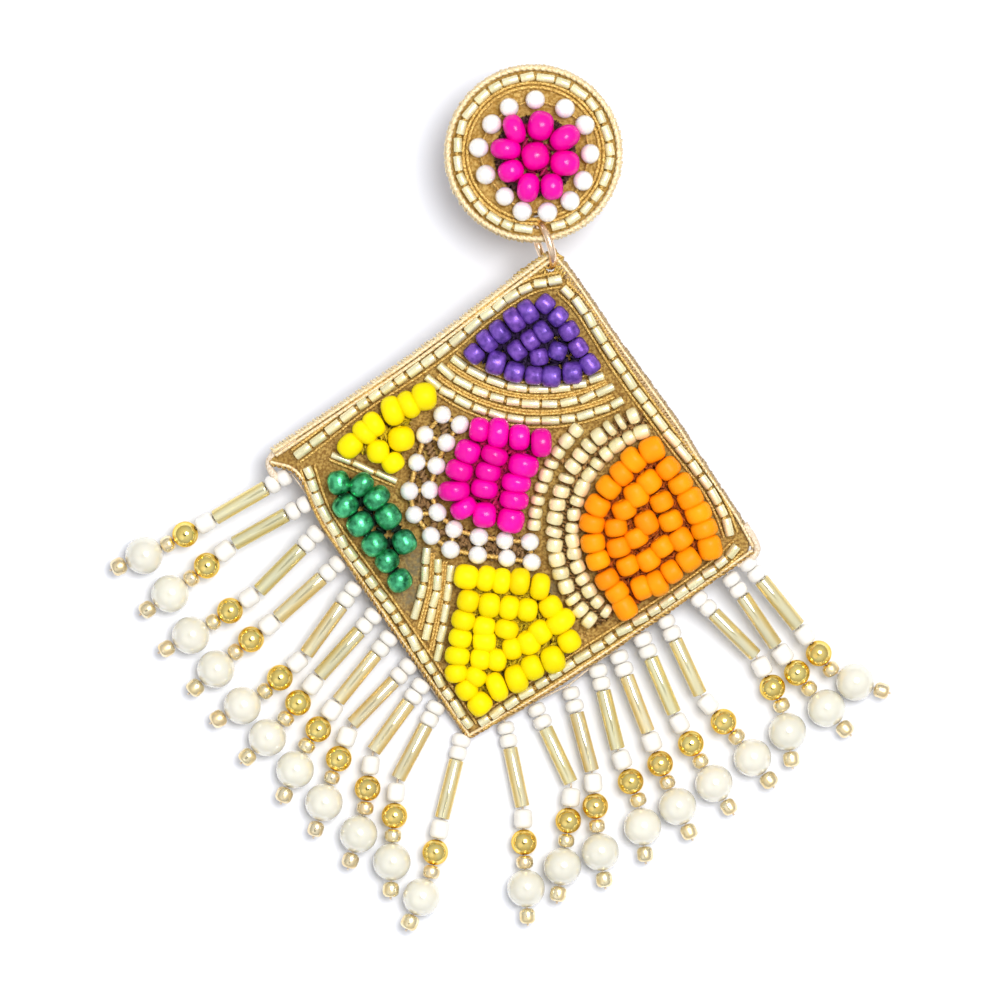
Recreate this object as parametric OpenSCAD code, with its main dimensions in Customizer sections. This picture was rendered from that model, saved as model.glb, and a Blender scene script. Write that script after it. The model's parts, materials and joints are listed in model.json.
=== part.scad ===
// Beaded stud earring lying face up: a round stud, a jump ring, a square panel set on
// its corner and a fringe of 21 bead strands. Millimetres, +Z up, +Y from panel to stud.
// The origin is the tip of the ear post, on the surface that the earring lies on.

/* [Stud] */
// Diameter of the felt disc of the stud
stud_d = 20; // [18:0.1:24]
// Thickness of the felt base of stud and panel
base_t = 1.8; // [1.5:0.1:2.2]
// Diameter of the stitched cord round the stud's edge
stud_rim_d = 0.76; // [0.5:0.01:0.9]
// Radius on which the tube beads of the stud sit
stud_tube_r = 8.85; // [8.7:0.05:9]
// Radius on which the pearl beads of the stud sit
stud_pearl_r = 6.4; // [6.3:0.05:6.5]
// Diameter of the pearl beads on the stud
stud_pearl_d = 2.2; // [1.8:0.1:2.3]
// Diameter of the cluster of large beads in the middle of the stud
stud_cluster_d = 10; // [9:0.1:10.2]
// Height of the cluster above the felt
stud_cluster_h = 2.6; // [2:0.1:3]

/* [Post and jump ring] */
// Diameter of the ear post
post_d = 0.8; // [0.7:0.05:1]
// Length of the ear post below its pad
post_l = 9.2; // [9:0.1:10]
// Diameter of the pad that the post is soldered to
pad_d = 6; // [5:0.5:8]
// Thickness of that pad
pad_t = 0.5; // [0.4:0.1:0.8]
// Diameter of the jump ring's wire
wire_d = 0.7; // [0.6:0.05:0.8]
// Lean of the jump ring to the right of upright
ring_lean = 14; // [0:1:18]
// Diameter of the two holes that the jump ring passes through
ring_hole_d = 1.7; // [1.5:0.05:1.8]

/* [Panel] */
// Middle of the panel, to the right of the post
panel_x = -2.7; // [-3:0.1:-2.5]
// Middle of the panel, above the post as seen in plan
panel_y = -39.7; // [-40:0.1:-39.6]
// Clockwise turn of the panel in plan
panel_turn = 9.5; // [9:0.1:10]
// Slope of the panel, from the jump ring down to its lowest corner
panel_slope = 9.5; // [9:0.1:10]
// Height of the stitched edge on the panel
panel_rim_h = 0.7; // [0.4:0.1:0.9]

/* [Beadwork on the panel] */
// Diameter of the tube beads that outline the fields
tube_d = 1.1; // [0.9:0.05:1.15]
// Diameter of the thin tube beads between the green and the yellow field
divider_d = 0.8; // [0.6:0.05:0.9]
// Diameter of the pearl beads round the pink block
pearl_d = 2; // [1.7:0.05:2.05]
// Diameter of the pale gold beads round the orange field
gold_d = 1.7; // [1.4:0.05:1.75]
// Height of the purple field
purple_h = 2.1; // [1.8:0.1:2.4]
// Height of the pink block
pink_h = 2.8; // [2:0.1:3]
// Height of the orange field
orange_h = 2.7; // [2:0.1:3]
// Height of both yellow fields
yellow_h = 2.6; // [2:0.1:3]
// Height of the green field
green_h = 2.6; // [2:0.1:3]

/* [Fringe] */
// Diameter of the white beads of a strand
white_d = 2.2; // [1.9:0.05:2.3]
// Length of the two white beads next to the panel
white_l = 1.4; // [1.3:0.05:1.6]
// Diameter of the long tube bead
bugle_d = 2.1; // [1.7:0.05:2.1]
// Length of the long tube bead
bugle_l = 7; // [6.5:0.1:7.2]
// Length of the white bead below the long tube
collar_l = 2.2; // [1.8:0.1:2.3]
// Diameter of the metal ball
ball_d = 3; // [2.6:0.05:3.1]
// Diameter of the small metal beads
seed_d = 1.9; // [1.6:0.05:2]
// Length of the small metal bead below the ball
seed_l = 1.4; // [1.2:0.05:1.5]
// Diameter of the pearl at the bottom of the strand
drop_d = 4.4; // [4:0.05:4.5]
// Length of the stop bead at the strand's end
stop_l = 1.8; // [1.4:0.05:1.9]
// Diameter of the strand's thread
thread_d = 0.28; // [0.2:0.02:0.3]

/* [Hidden] */
gap = 0.05;
bead_gap = 0.12;
hole_d = 0.8;
round_fn = 64;

stud_z = post_l + pad_t + gap;
stud_top = stud_z + base_t;

// Corners as [right, up, rounding], in the panel's own plan, from the top corner clockwise
panel_corners = [
    [0.2, 29.2, 1.6],
    [29.2, -0.9, 2.2],
    [10, -19.7, 6],
    [-0.1, -28.2, 1.6],
    [-20.9, -6.8, 4],
    [-24.5, -0.7, 0.8],
    [-28.1, -0.5, 0.6],
    [-28.2, 0.9, 1],
];
border_corners = [
    [0.2, 26.7, 2],
    [27.3, -1.2, 1.2],
    [9.4, -19, 6],
    [0, -26.9, 1],
    [-20.4, -6.2, 4],
    [-25, 1, 0.8],
];
rim_inside = 1.035;
apex_hole = [0.2, 27.3];
stud_hole = [0.45, -7.9];

// The three strings under the purple field and the field's own lower edge are arcs of one centre
purple_centre = [-1.2, 29];
purple_arcs = [[16.1, 239.5, 306.5], [17.8, 238, 307.5], [19.7, 237.5, 308.5]];
purple_edge = [15.3, 246, 301.5];
purple_sides = [[8, 16.7, 0.8], [0.3, 24.8, 1.2], [-8.1, 16.5, 0.8]];

// So are the three strings left of the orange field and that field's left edge
orange_centre = [20, -0.5];
gold_arcs = [[12.6, 120.5, 239], [14.7, 122, 236], [16.8, 145.5, 187]];
orange_edge = [11.5, 121, 243];
orange_tip = [25.7, -1.2];

// Other outlines as [right, up, rounding]
pink_corners = [
    [-5.6, 8.6, 1.1], [4, 8.6, 1.1], [3.2, 5.3, 0.8], [2.4, 3.2, 0.5], [2.1, -3.4, 0.9],
    [-2, -3.4, 0.8], [-5.1, -2.9, 0.8], [-7.6, -0.6, 1], [-7.5, 3.2, 1],
];
large_yellow_corners = [
    [-4.5, -8.1, 1.1], [5.8, -8, 1.2], [10.8, -14.6, 1.2], [8.2, -18.7, 1.3], [0.2, -25.2, 1], [-4.5, -20.6, 1],
];
small_yellow_corners = [
    [-21, 3.5, 0.9], [-12.4, 11.9, 1.1], [-10.9, 9.4, 1.1], [-12.7, 4.4, 1], [-13.4, 0.9, 0.9], [-20.6, 2.4, 0.8],
];
green_corners = [
    [-21.3, -0.3, 1], [-17.2, -0.1, 0.8], [-12.7, -2.9, 1.2], [-9.9, -6.5, 1.2],
    [-9.7, -11.4, 1.2], [-11.4, -12.9, 1], [-21.4, -2.4, 1],
];

// Routes of the strings that follow no arc
inner_pearl_route = [[-7.1, 7.7], [-8.4, 5.2], [-9, 2.5], [-9.2, -0.2], [-8, -2.8], [-5.7, -4.4], [-2.8, -4.6], [0.2, -4.6], [3.1, -4.5]];
outer_pearl_route = [
    [-9.3, 8.5], [-10.9, 5.8], [-11.4, 2.6], [-11.5, -0.7], [-10.5, -3.6],
    [-8.4, -5.7], [-5.8, -6.8], [-2.6, -6.9], [0.7, -6.8], [3.8, -6.7],
];
green_routes = [
    [[-8.6, -7], [-8.3, -9], [-8.2, -11], [-8.4, -13.2], [-8.7, -15.4]],
    [[-7.1, -8], [-6.7, -10], [-6.6, -12.4], [-6.8, -15], [-7, -17.6]],
    [[-5.4, -8.5], [-5.3, -11], [-5.2, -14], [-5.2, -17], [-5.2, -19.8]],
];
divider_route = [[-21.2, 1.8], [-18.6, 1.2], [-15.8, 0.6], [-13.2, 0]];

// A row for each strand, from the panel's left corner to its right one. The columns are the place
// of the long tube's upper end, then how far the tube, the ball and the pearl lean to the right
strands = [
    [-30.8, -38.4, -60, -61, -66],
    [-28.5, -41.5, -61, -51, -55],
    [-26.8, -45.4, -45, -56, -61],
    [-24.4, -48.8, -48, -51, -48],
    [-22.2, -52.0, -36, -48, -61],
    [-20.1, -55.0, -42, -38, -46],
    [-18.2, -57.7, -39, -35, -23],
    [-16.1, -60.8, -44, -20, -17],
    [-14.4, -63.3, -36, -7, -17],
    [-12.4, -66.0, -28, -4, -2],
    [-8.9, -70.0, -14, -11, -25],
    [-2.7, -68.6, 12, 2, 3],
    [1.4, -66.3, 25, -6, -9],
    [5.0, -64.5, 15, 5, 8],
    [8.1, -61.9, 14, 22, 5],
    [10.8, -60.2, 21, 21, 24],
    [13.6, -58.1, 23, 29, 32],
    [16.4, -56.0, 25, 41, 36],
    [20.8, -52.9, 45, 27, 8],
    [24.2, -50.9, 34, 38, 42],
    [26.3, -49.0, 39, 37, 72],
];

function strand_name(i) = str("strand_", i < 9 ? "0" : "", i + 1);
function unit(v) = v / norm(v);
function arc(centre, r, from, to, steps) = [
    for (k = [0 : steps]) let (a = from + (to - from) * k / steps) centre + r * [cos(a), sin(a)]
];

// Turn from one bearing to another by the shorter way
function turn_between(a, b) = (b - a + 540) % 360 - 180;

// Corners joined by straight sides, each rounded by its own radius
function rounded(corners, steps = 4) = [
    for (i = [0 : len(corners) - 1])
        let (
            n = len(corners),
            at = [corners[i][0], corners[i][1]],
            r = corners[i][2],
            back = unit([for (j = [0, 1]) corners[(i + n - 1) % n][j] - at[j]]),
            ahead = unit([for (j = [0, 1]) corners[(i + 1) % n][j] - at[j]]),
            half = acos(back * ahead) / 2,
            centre = at + unit(back + ahead) * r / sin(half),
            from = at + back * r / tan(half) - centre,
            to = at + ahead * r / tan(half) - centre,
            a = atan2(from[1], from[0]),
            sweep = turn_between(a, atan2(to[1], to[0]))
        )
        each arc(centre, r, a, a + sweep, steps)
];

// Points measured in plan, stretched onto the sloping panel
function on_slope(points) = [for (p = points) [p[0], p[1] / cos(panel_slope)]];

// Extra points along long sides, so that no ring of a tube is far from the next
function divided(points, pitch) = [
    for (i = [0 : len(points) - 1])
        let (
            a = points[i],
            b = points[(i + 1) % len(points)],
            n = max(1, ceil(norm(b - a) / pitch))
        )
        for (k = [0 : n - 1]) a + (b - a) * k / n
];

panel_outline = rounded(panel_corners);
panel_z = gap - tan(panel_slope) * min([for (p = panel_outline) p[1]]);

// Plan places seen from the post, and the height of the panel's middle there
function from_panel(p) = [
    panel_x + p[0] * cos(panel_turn) + p[1] * sin(panel_turn),
    panel_y - p[0] * sin(panel_turn) + p[1] * cos(panel_turn),
];
function panel_height(p) =
    panel_z + base_t / 2 + tan(panel_slope)
        * ((p[0] - panel_x) * sin(panel_turn) + (p[1] - panel_y) * cos(panel_turn));

// A strand's beads from the panel outwards, with the lean that each one takes
bead_lengths = [white_l, white_l, bugle_l, collar_l, ball_d, seed_l, drop_d, stop_l];
bead_leans = [2, 2, 2, 3, 3, 3, 4, 4];
drop_index = 6;
lowest_root = white_d / 2 + gap;

// Room beside each joint, so that beads on both sides of a bend stay apart
bend_room = [0, 0, 0, 0.9, 0, 0, 0.5, 0, 0];
function bend(row, k) = row[bead_leans[k]] - row[bead_leans[k - 1]];
function room(row, k) =
    k == 0 ? 0
    : bead_gap / 2 + (bend_room[k] == 0 ? 0 : bend_room[k] * abs(tan(bend(row, k) / 2)));

function lean_way(angle) = [sin(angle), -cos(angle)];
function step_length(row, k) = room(row, k) + bead_lengths[k] + room(row, k + 1);
function bead_step(row, k) = step_length(row, k) * lean_way(row[bead_leans[k]]);
function plan_joint(row, k) =
    k < 2 ? plan_joint(row, k + 1) - bead_step(row, k)
    : k == 2 ? [row[0], row[1]]
    : plan_joint(row, k - 1) + bead_step(row, k - 1);
function run_length(row, k) = k == 0 ? 0 : run_length(row, k - 1) + step_length(row, k - 1);

// The thread comes down from the panel's edge until the pearl lies on the surface
function joints(row) =
    let (
        root = plan_joint(row, 0),
        top = max(lowest_root, panel_height(root)),
        all = run_length(row, drop_index)
    )
    [
        for (k = [0 : len(bead_lengths)])
            let (p = plan_joint(row, k), t = min(1, run_length(row, k) / all))
            [p[0], p[1], top + (drop_d / 2 - top) * t]
    ];

// Rings of points along a route, joined to a tube that is open-ended or a loop
module tube(route, d, sides = 8, loop = false) {
    n = len(route);
    rings = [
        for (i = [0 : n - 1])
            let (
                before = route[loop ? (i + n - 1) % n : max(i - 1, 0)],
                after = route[loop ? (i + 1) % n : min(i + 1, n - 1)],
                along = unit(after - before),
                side = unit(cross(along, [0, 0, 1])),
                up = cross(side, along)
            )
            for (k = [0 : sides - 1])
                route[i] + d / 2 * (cos(360 * k / sides) * side + sin(360 * k / sides) * up)
    ];
    walls = [
        for (i = [0 : loop ? n - 1 : n - 2])
            for (k = [0 : sides - 1])
                let (j = (i + 1) % n, m = (k + 1) % sides)
                [i * sides + k, i * sides + m, j * sides + m, j * sides + k]
    ];
    caps = loop ? [] : [
        [for (k = [sides - 1 : -1 : 0]) k],
        [for (k = [0 : sides - 1]) (n - 1) * sides + k],
    ];
    polyhedron(rings, concat(walls, caps), convexity = 10);
}

module on_panel() {
    translate([panel_x, panel_y, panel_z])
        rotate([0, 0, -panel_turn])
            rotate([panel_slope, 0, 0])
                children();
}

// A string of beads on the panel, as the tube that they fill
module panel_string(route, d, loop = false) {
    on_panel()
        tube([for (p = on_slope(route)) [p[0], p[1], base_t + gap + d / 2]], d, 8, loop);
}

// A field of beads on the panel, as the block that they fill
module panel_field(outline, height) {
    on_panel()
        translate([0, 0, base_t + gap])
            linear_extrude(height)
                polygon(on_slope(outline));
}

module stud_post() {
    color("silver") {
        cylinder(d = post_d, h = post_l + gap, $fn = round_fn);
        translate([0, 0, post_l])
            cylinder(d = pad_d, h = pad_t, $fn = round_fn);
    }
}

module stud_base() {
    color("goldenrod")
        difference() {
            translate([0, 0, stud_z])
                cylinder(d = stud_d, h = base_t, $fn = round_fn);
            translate([stud_hole[0], stud_hole[1], stud_z - 1])
                cylinder(d = ring_hole_d, h = base_t + 2, $fn = round_fn);
        }
}

module stud_rim() {
    color("darkgoldenrod")
        rotate_extrude($fn = round_fn)
            translate([stud_d / 2 - stud_rim_d / 4, stud_top + gap + stud_rim_d / 2])
                circle(d = stud_rim_d, $fn = 32);
}

// The ring of tube beads parts where the jump ring comes up through the felt
module stud_tube_ring() {
    opening = 10;
    middle = atan2(stud_hole[1], stud_hole[0]) + 5;
    color("palegoldenrod")
        rotate([0, 0, middle + opening / 2])
            rotate_extrude(angle = 360 - opening, $fn = round_fn)
                translate([stud_tube_r, stud_top + gap + tube_d / 2])
                    circle(d = tube_d, $fn = 32);
}

module stud_pearl_ring() {
    color("white")
        rotate_extrude($fn = round_fn)
            translate([stud_pearl_r, stud_top + gap + stud_pearl_d / 2])
                circle(d = stud_pearl_d, $fn = 32);
}

module stud_pink_cluster() {
    color("deeppink")
        translate([0, 0, stud_top + gap])
            cylinder(d = stud_cluster_d, h = stud_cluster_h, $fn = round_fn);
}

module jump_ring() {
    plan = from_panel(apex_hole - [0, sin(panel_slope) * base_t / 2]);
    start = [stud_hole[0], stud_hole[1], stud_z + base_t / 2];
    end = [plan[0], plan[1], panel_height(plan)];
    chord = end - start;
    color("rosybrown")
        translate((start + end) / 2)
            rotate([0, 0, atan2(chord[1], chord[0])])
                rotate([90 - ring_lean, asin(-chord[2] / norm(chord)), 0])
                    rotate_extrude($fn = round_fn)
                        translate([norm(chord) / 2, 0])
                            circle(d = wire_d, $fn = 32);
}

module panel_base() {
    color("goldenrod")
        on_panel()
            difference() {
                linear_extrude(base_t)
                    polygon(on_slope(panel_outline));
                translate([apex_hole[0], apex_hole[1] / cos(panel_slope), -1])
                    cylinder(d = ring_hole_d, h = base_t + 2, $fn = round_fn);
            }
}

// The stitched edge of the two upper sides, which stops on both sides of the jump ring
module panel_rim() {
    inside = [for (p = rounded(border_corners)) p * rim_inside];
    color("darkgoldenrod")
        on_panel()
            difference() {
                translate([0, 0, base_t + gap])
                    linear_extrude(panel_rim_h)
                        difference() {
                            polygon(on_slope(panel_outline));
                            polygon(on_slope(inside));
                            translate([-40, -80])
                                square(80);
                        }
                translate([apex_hole[0], apex_hole[1] / cos(panel_slope), base_t - 1])
                    cylinder(d = 3, h = panel_rim_h + 2, $fn = round_fn);
            }
}

module panel_border_string() {
    color("palegoldenrod") panel_string(divided(rounded(border_corners, 3), 3.5), tube_d, true);
}

module purple_arc(i) {
    a = purple_arcs[i];
    color("palegoldenrod") panel_string(arc(purple_centre, a[0], a[1], a[2], 9), tube_d);
}

module purple_field() {
    e = purple_edge;
    tip = rounded(purple_sides, 3);
    color("rebeccapurple") panel_field(concat(arc(purple_centre, e[0], e[1], e[2], 8), tip), purple_h);
}

module gold_arc(i) {
    a = gold_arcs[i];
    steps = ceil((a[2] - a[1]) / 10);
    color("khaki") panel_string(arc(orange_centre, a[0], a[1], a[2], steps), gold_d);
}

module orange_field() {
    e = orange_edge;
    left = arc(orange_centre, e[0], e[1], e[2], 10);
    tip = [[left[10][0], left[10][1], 0], [orange_tip[0], orange_tip[1], 1.2], [left[0][0], left[0][1], 0]];
    color("darkorange") panel_field(concat(left, arc_at(tip)), orange_h);
}

// The rounded middle corner of three
function arc_at(three) = [for (k = [4 : 7]) rounded([for (c = three) [c[0], c[1], max(c[2], 0.01)]], 3)[k]];

module pink_field() {
    color("deeppink") panel_field(rounded(pink_corners), pink_h);
}

module large_yellow_field() {
    color("yellow") panel_field(rounded(large_yellow_corners), yellow_h);
}

module small_yellow_field() {
    color("yellow") panel_field(rounded(small_yellow_corners), yellow_h);
}

module green_field() {
    color("seagreen") panel_field(rounded(green_corners), green_h);
}

module green_arc(i) {
    color("palegoldenrod") panel_string(green_routes[i], tube_d);
}

module divider_string() {
    color("palegoldenrod") panel_string(divider_route, divider_d);
}

module inner_pearl_string() {
    color("white") panel_string(inner_pearl_route, pearl_d);
}

module outer_pearl_string() {
    color("white") panel_string(outer_pearl_route, pearl_d);
}

// A bead drilled along Z, with its outer edges rounded
module drilled_bead(d, length, rounding) {
    r = d / 2 - rounding;
    z = length / 2 - rounding;
    rotate_extrude($fn = round_fn)
        polygon(concat(
            [[hole_d / 2, -length / 2]],
            arc([r, -z], rounding, -90, 0, 3),
            arc([r, z], rounding, 0, 90, 3),
            [[hole_d / 2, length / 2]]
        ));
}

module drilled_ball(d) {
    difference() {
        sphere(d = d, $fn = round_fn);
        cylinder(d = hole_d, h = d + 1, center = true, $fn = round_fn);
    }
}

module strand_bead(k) {
    if (k < 2) color("white") drilled_bead(white_d, white_l, 0.4);
    if (k == 2) color("palegoldenrod") drilled_bead(bugle_d, bugle_l, 0.1);
    if (k == 3) color("white") drilled_bead(white_d, collar_l, 0.4);
    if (k == 4) color("gold") drilled_ball(ball_d);
    if (k == 5) color("rosybrown") drilled_bead(seed_d, seed_l, 0.4);
    if (k == 6) color("ivory") drilled_ball(drop_d);
    if (k == 7) color("rosybrown") drilled_bead(seed_d, stop_l, 0.5);
}

// Each bead sits on the straight run of thread between two joints
module strand(i) {
    row = strands[i];
    at = joints(row);
    for (k = [0 : len(bead_lengths) - 1]) {
        way = at[k + 1] - at[k];
        middle = (room(row, k) + bead_lengths[k] / 2) / step_length(row, k);
        translate(at[k] + way * middle)
            rotate([0, acos(way[2] / norm(way)), atan2(way[1], way[0])])
                strand_bead(k);
    }
}

module fringe_threads() {
    color("wheat")
        for (row = strands)
            tube(joints(row), thread_d, 6);
}

stud_post();
stud_base();
stud_rim();
stud_tube_ring();
stud_pearl_ring();
stud_pink_cluster();
jump_ring();
panel_base();
panel_rim();
panel_border_string();
purple_field();
purple_arc(0);  // purple_arc_1
purple_arc(1);  // purple_arc_2
purple_arc(2);  // purple_arc_3
small_yellow_field();
divider_string();
green_field();
green_arc(0);  // green_arc_1
green_arc(1);  // green_arc_2
green_arc(2);  // green_arc_3
inner_pearl_string();
outer_pearl_string();
pink_field();
gold_arc(0);  // gold_arc_1
gold_arc(1);  // gold_arc_2
gold_arc(2);  // gold_arc_3
orange_field();
large_yellow_field();
for (i = [0 : len(strands) - 1]) strand(i);
fringe_threads();
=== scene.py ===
"""Beaded earring lying face up: beads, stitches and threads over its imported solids, in metres."""

import json
import math
import random

import bmesh
import bpy
from mathutils import Matrix, Vector

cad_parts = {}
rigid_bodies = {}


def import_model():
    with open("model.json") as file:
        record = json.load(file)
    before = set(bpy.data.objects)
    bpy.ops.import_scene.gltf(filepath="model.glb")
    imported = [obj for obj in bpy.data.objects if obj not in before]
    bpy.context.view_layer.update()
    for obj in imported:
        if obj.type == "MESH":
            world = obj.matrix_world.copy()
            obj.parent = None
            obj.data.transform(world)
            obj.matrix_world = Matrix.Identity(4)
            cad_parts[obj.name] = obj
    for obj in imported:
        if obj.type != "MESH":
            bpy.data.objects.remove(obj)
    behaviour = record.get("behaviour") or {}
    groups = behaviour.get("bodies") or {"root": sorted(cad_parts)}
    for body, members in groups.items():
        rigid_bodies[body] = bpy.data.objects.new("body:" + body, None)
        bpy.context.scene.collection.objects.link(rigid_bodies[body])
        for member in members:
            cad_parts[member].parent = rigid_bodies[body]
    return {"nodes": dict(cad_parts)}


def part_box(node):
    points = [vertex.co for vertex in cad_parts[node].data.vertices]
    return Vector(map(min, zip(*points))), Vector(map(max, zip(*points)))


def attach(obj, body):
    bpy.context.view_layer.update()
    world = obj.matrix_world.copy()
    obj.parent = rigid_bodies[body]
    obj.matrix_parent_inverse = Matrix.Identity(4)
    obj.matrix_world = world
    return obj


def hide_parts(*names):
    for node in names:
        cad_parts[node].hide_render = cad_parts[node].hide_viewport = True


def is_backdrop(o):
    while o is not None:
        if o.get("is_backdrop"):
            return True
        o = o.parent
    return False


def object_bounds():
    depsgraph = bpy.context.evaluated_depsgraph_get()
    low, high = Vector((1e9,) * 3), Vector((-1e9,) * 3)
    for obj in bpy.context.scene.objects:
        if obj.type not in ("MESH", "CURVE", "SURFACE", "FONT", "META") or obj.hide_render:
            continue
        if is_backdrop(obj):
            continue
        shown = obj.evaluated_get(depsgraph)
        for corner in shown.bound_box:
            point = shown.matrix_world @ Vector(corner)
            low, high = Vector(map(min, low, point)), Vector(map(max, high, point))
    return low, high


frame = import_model()

bl_info = {
    "name": "Beaded Earring",
    "version": (1, 0, 0),
    "blender": (4, 5, 0),
    "location": "View3D > Sidebar > Earring",
    "description": "Dresses a beaded stud earring with beads, stitched edges, threads and a fringe",
    "category": "Add Mesh",
}

MM = 0.001
FULL_TURN = 6.28
FILM_WIDTH = 36
BODY = "root"

# Sizes and places are in mm and degrees down to the end of the charts

# The panel's middle, its turn in plan and its slope, and the felt that all beads are sewn to
PANEL_MIDDLE = (-2.7, -39.7, 4.67)
PANEL_TURN = 9.5
PANEL_SLOPE = 9.5
FELT = 1.8
STUD_TOP = 11.55
STUD_RADIUS = 10

# How high the strings of gold beads, the coloured beads and the small pearls lie above the felt
TUBE_LIFT = 0.05
SEED_LIFT = 0.03
PEARL_LIFT = 0.02
# How near another bead counts as a neighbour, in bead widths, and the least and most that a bead
# is scaled to meet its neighbours
NEIGHBOUR_REACH = 1.45
LEAST_FIT = 0.86
MOST_FIT = 1.12
# How a bead of a field turns and tips out of its string by chance, in radians, and how its width
# and length vary, as shares
BEAD_TURN = 0.07
BEAD_TIP = 0.06
WIDTH_SPREAD = 0.03
LENGTH_SPREAD = 0.04
# Length of a tube bead before it is fitted to its place, and the gaps along the strings
TUBE_LENGTH = 2.0
TUBE_GAP = 0.26
# Narrowest and widest tube bead, as shares of their usual width
TUBE_WIDTHS = (0.93, 1.04)
GOLD_SEED_LENGTH = 1.4
GOLD_SEED_GAP = 0.2
# Rings on the stud: its tube beads, the thread beside them and the cord at its edge
STUD_TUBES_RADIUS = 8.8
STUD_COUCHING_RADII = (7.6, 8.1)
STUD_CORD_RADIUS = 9.84
COUCHING_HEIGHT = 0.16

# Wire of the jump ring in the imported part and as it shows, and its cut in radians
PACKED_WIRE_RADIUS = 0.35
WIRE_RADIUS = 0.43
RING_CUT = 0.03
# Ear post from its tip up: pin, groove for a clutch, and the pad that is glued to the felt
PIN_RADIUS = 0.4
PIN_LENGTH = 9.2
GROOVE_AT = 1.7
GROOVE_REACH = 0.2
PAD_RADIUS = 3.0
PAD_HEIGHT = 0.5

# Fringe: its strands, the beads on each, and each kind's length, hole, rounding, sides, steps of
# the rounding and, where it isn't the usual one, the angle that stays sharp. The lining is the
# metal tube inside a long glass one
STRANDS = [f"strand_{i:02d}" for i in range(1, 22)]
STRAND_BEADS = 8
LINING_WIDTH = 1.18
FRINGE_CUTS = {
    "fringe_whites": (1.5, 0.8, 0.55, 16, 4),
    "fringe_collars": (2.2, 0.8, 0.55, 16, 4),
    "fringe_long_tubes": (7.0, 1.22, 0.12, 20, 2),
    "fringe_tube_linings": (6.9, 0.6, 0.04, 8, 1, 20),
    "fringe_small_metal": (1.5, 0.65, 0.55, 16, 4),
    "fringe_stops": (1.75, 0.65, 0.58, 16, 4),
}
# Faces of the balls and the large pearls, round and from end to end
FRINGE_BALLS = {"fringe_balls": (24, 18), "fringe_pearls": (32, 22)}
# Roots of two strands that are nearer than this are joined by a thread
ROOT_SPAN = 7

# Sides of the border string as [right, up] on the panel
BORDER_SIDES = [
    [(1.7, 26.0), (-1.3, 25.0), (-4.0, 22.9), (-7.1, 19.6), (-9.5, 16.6), (-14.0, 12.2)]
    + [(-18.8, 8.0), (-22.5, 3.7), (-25.2, 0.9)],
    [(-23.7, -0.1), (-21.6, -4.3), (-19.4, -6.9), (-14.0, -12.2), (-8.9, -17.4), (-0.1, -26.8)],
    [(0.8, -26.2), (10.4, -17.3), (20.6, -8.0), (24.7, -3.9), (26.9, -0.9)],
    [(25.9, 0.2), (24.1, 3.3), (21.6, 6.2), (19.0, 8.4), (13.0, 14.1), (8.9, 18.2)]
    + [(6.7, 20.8), (4.1, 23.7), (1.9, 25.1)],
]
# Hole for the jump ring, and the line of stitches over the tip above it
APEX_HOLE = (0.2, 27.3)
APEX_HOLE_RADIUS = 0.85
APEX_TIP = [(-3.4, 25.6), (0.2, 29.1), (3.7, 25.5)]
# Edges of the panel
UPPER_LEFT = [(-28.0, 1.1), (-20.0, 8.6), (-15.0, 13.3), (-10.0, 18.4), (-5.0, 23.8), (-0.2, 28.7)]
UPPER_RIGHT = [(0.7, 28.5), (3.3, 26.3), (8.0, 21.3), (13.0, 16.4), (18.2, 11.3), (20.2, 8.9)]
UPPER_RIGHT += [(24.0, 4.9), (26.4, 2.4), (28.7, -0.6)]
# The overcast band beside the upper right side ends at this place of its line
BAND_END = 6
LOWER_SIDES = [
    [(28.8, -1.3), (10.0, -19.7), (-0.1, -28.0)],
    [(-0.3, -27.9), (-20.9, -6.8), (-24.5, -0.7), (-28.0, -0.5)],
]
# Loops of thread round the side corners, as [right, up, height]
CORNER_LOOPS = [
    [(-25.4, 2.7, -0.1), (-27.4, 1.3, -0.2), (-28.3, 0.0, -0.7)]
    + [(-27.9, -1.3, -0.5), (-26.6, -2.2, -0.7)],
    [(27.2, 1.7, -0.1), (28.8, 0.0, -0.2), (29.3, -1.2, -0.7)]
    + [(28.6, -2.2, -0.5), (27.2, -3.0, -0.7)],
]
# Spots where the ground shows bare and greyish, as [right, up, radius]
BARE_SPOTS = [(-9.2, -9.0, 2.6), (-9.4, -13.0, 2.2), (6.5, -9.3, 1.2)]
# Gold strings below the purple field: their centre, each one as [radius, start, end], and the
# thread beside them
PURPLE_CENTRE = (-1.2, 29.0)
PURPLE_ARCS = [(16.1, 239.5, 306.5), (17.8, 238.0, 307.5), (19.7, 237.5, 308.5)]
PURPLE_COUCHING_RADII = (15.35, 16.78, 17.12, 18.58, 18.92, 20.45)
# Strings of gold seed beads beside the orange field, given in the same way
GOLD_CENTRE = (20.0, -0.5)
GOLD_ARCS = [(12.45, 117.5, 239.5), (14.55, 118.5, 236.5), (16.85, 142.5, 188.5)]
# Gold strings beside the green field, and the one between it and the small yellow field
GREEN_ROUTES = [
    [(-8.6, -7.0), (-8.3, -9.0), (-8.2, -11.0), (-8.4, -13.2), (-8.7, -15.4)],
    [(-7.1, -8.0), (-6.7, -10.0), (-6.6, -12.4), (-6.8, -15.0), (-7.0, -17.6)],
    [(-5.4, -8.5), (-5.3, -11.0), (-5.2, -14.0), (-5.2, -17.0), (-5.2, -19.8)],
]
DIVIDER_ROUTE = [(-21.2, 1.8), (-18.6, 1.2), (-15.8, 0.6), (-13.2, 0.0)]

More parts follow.
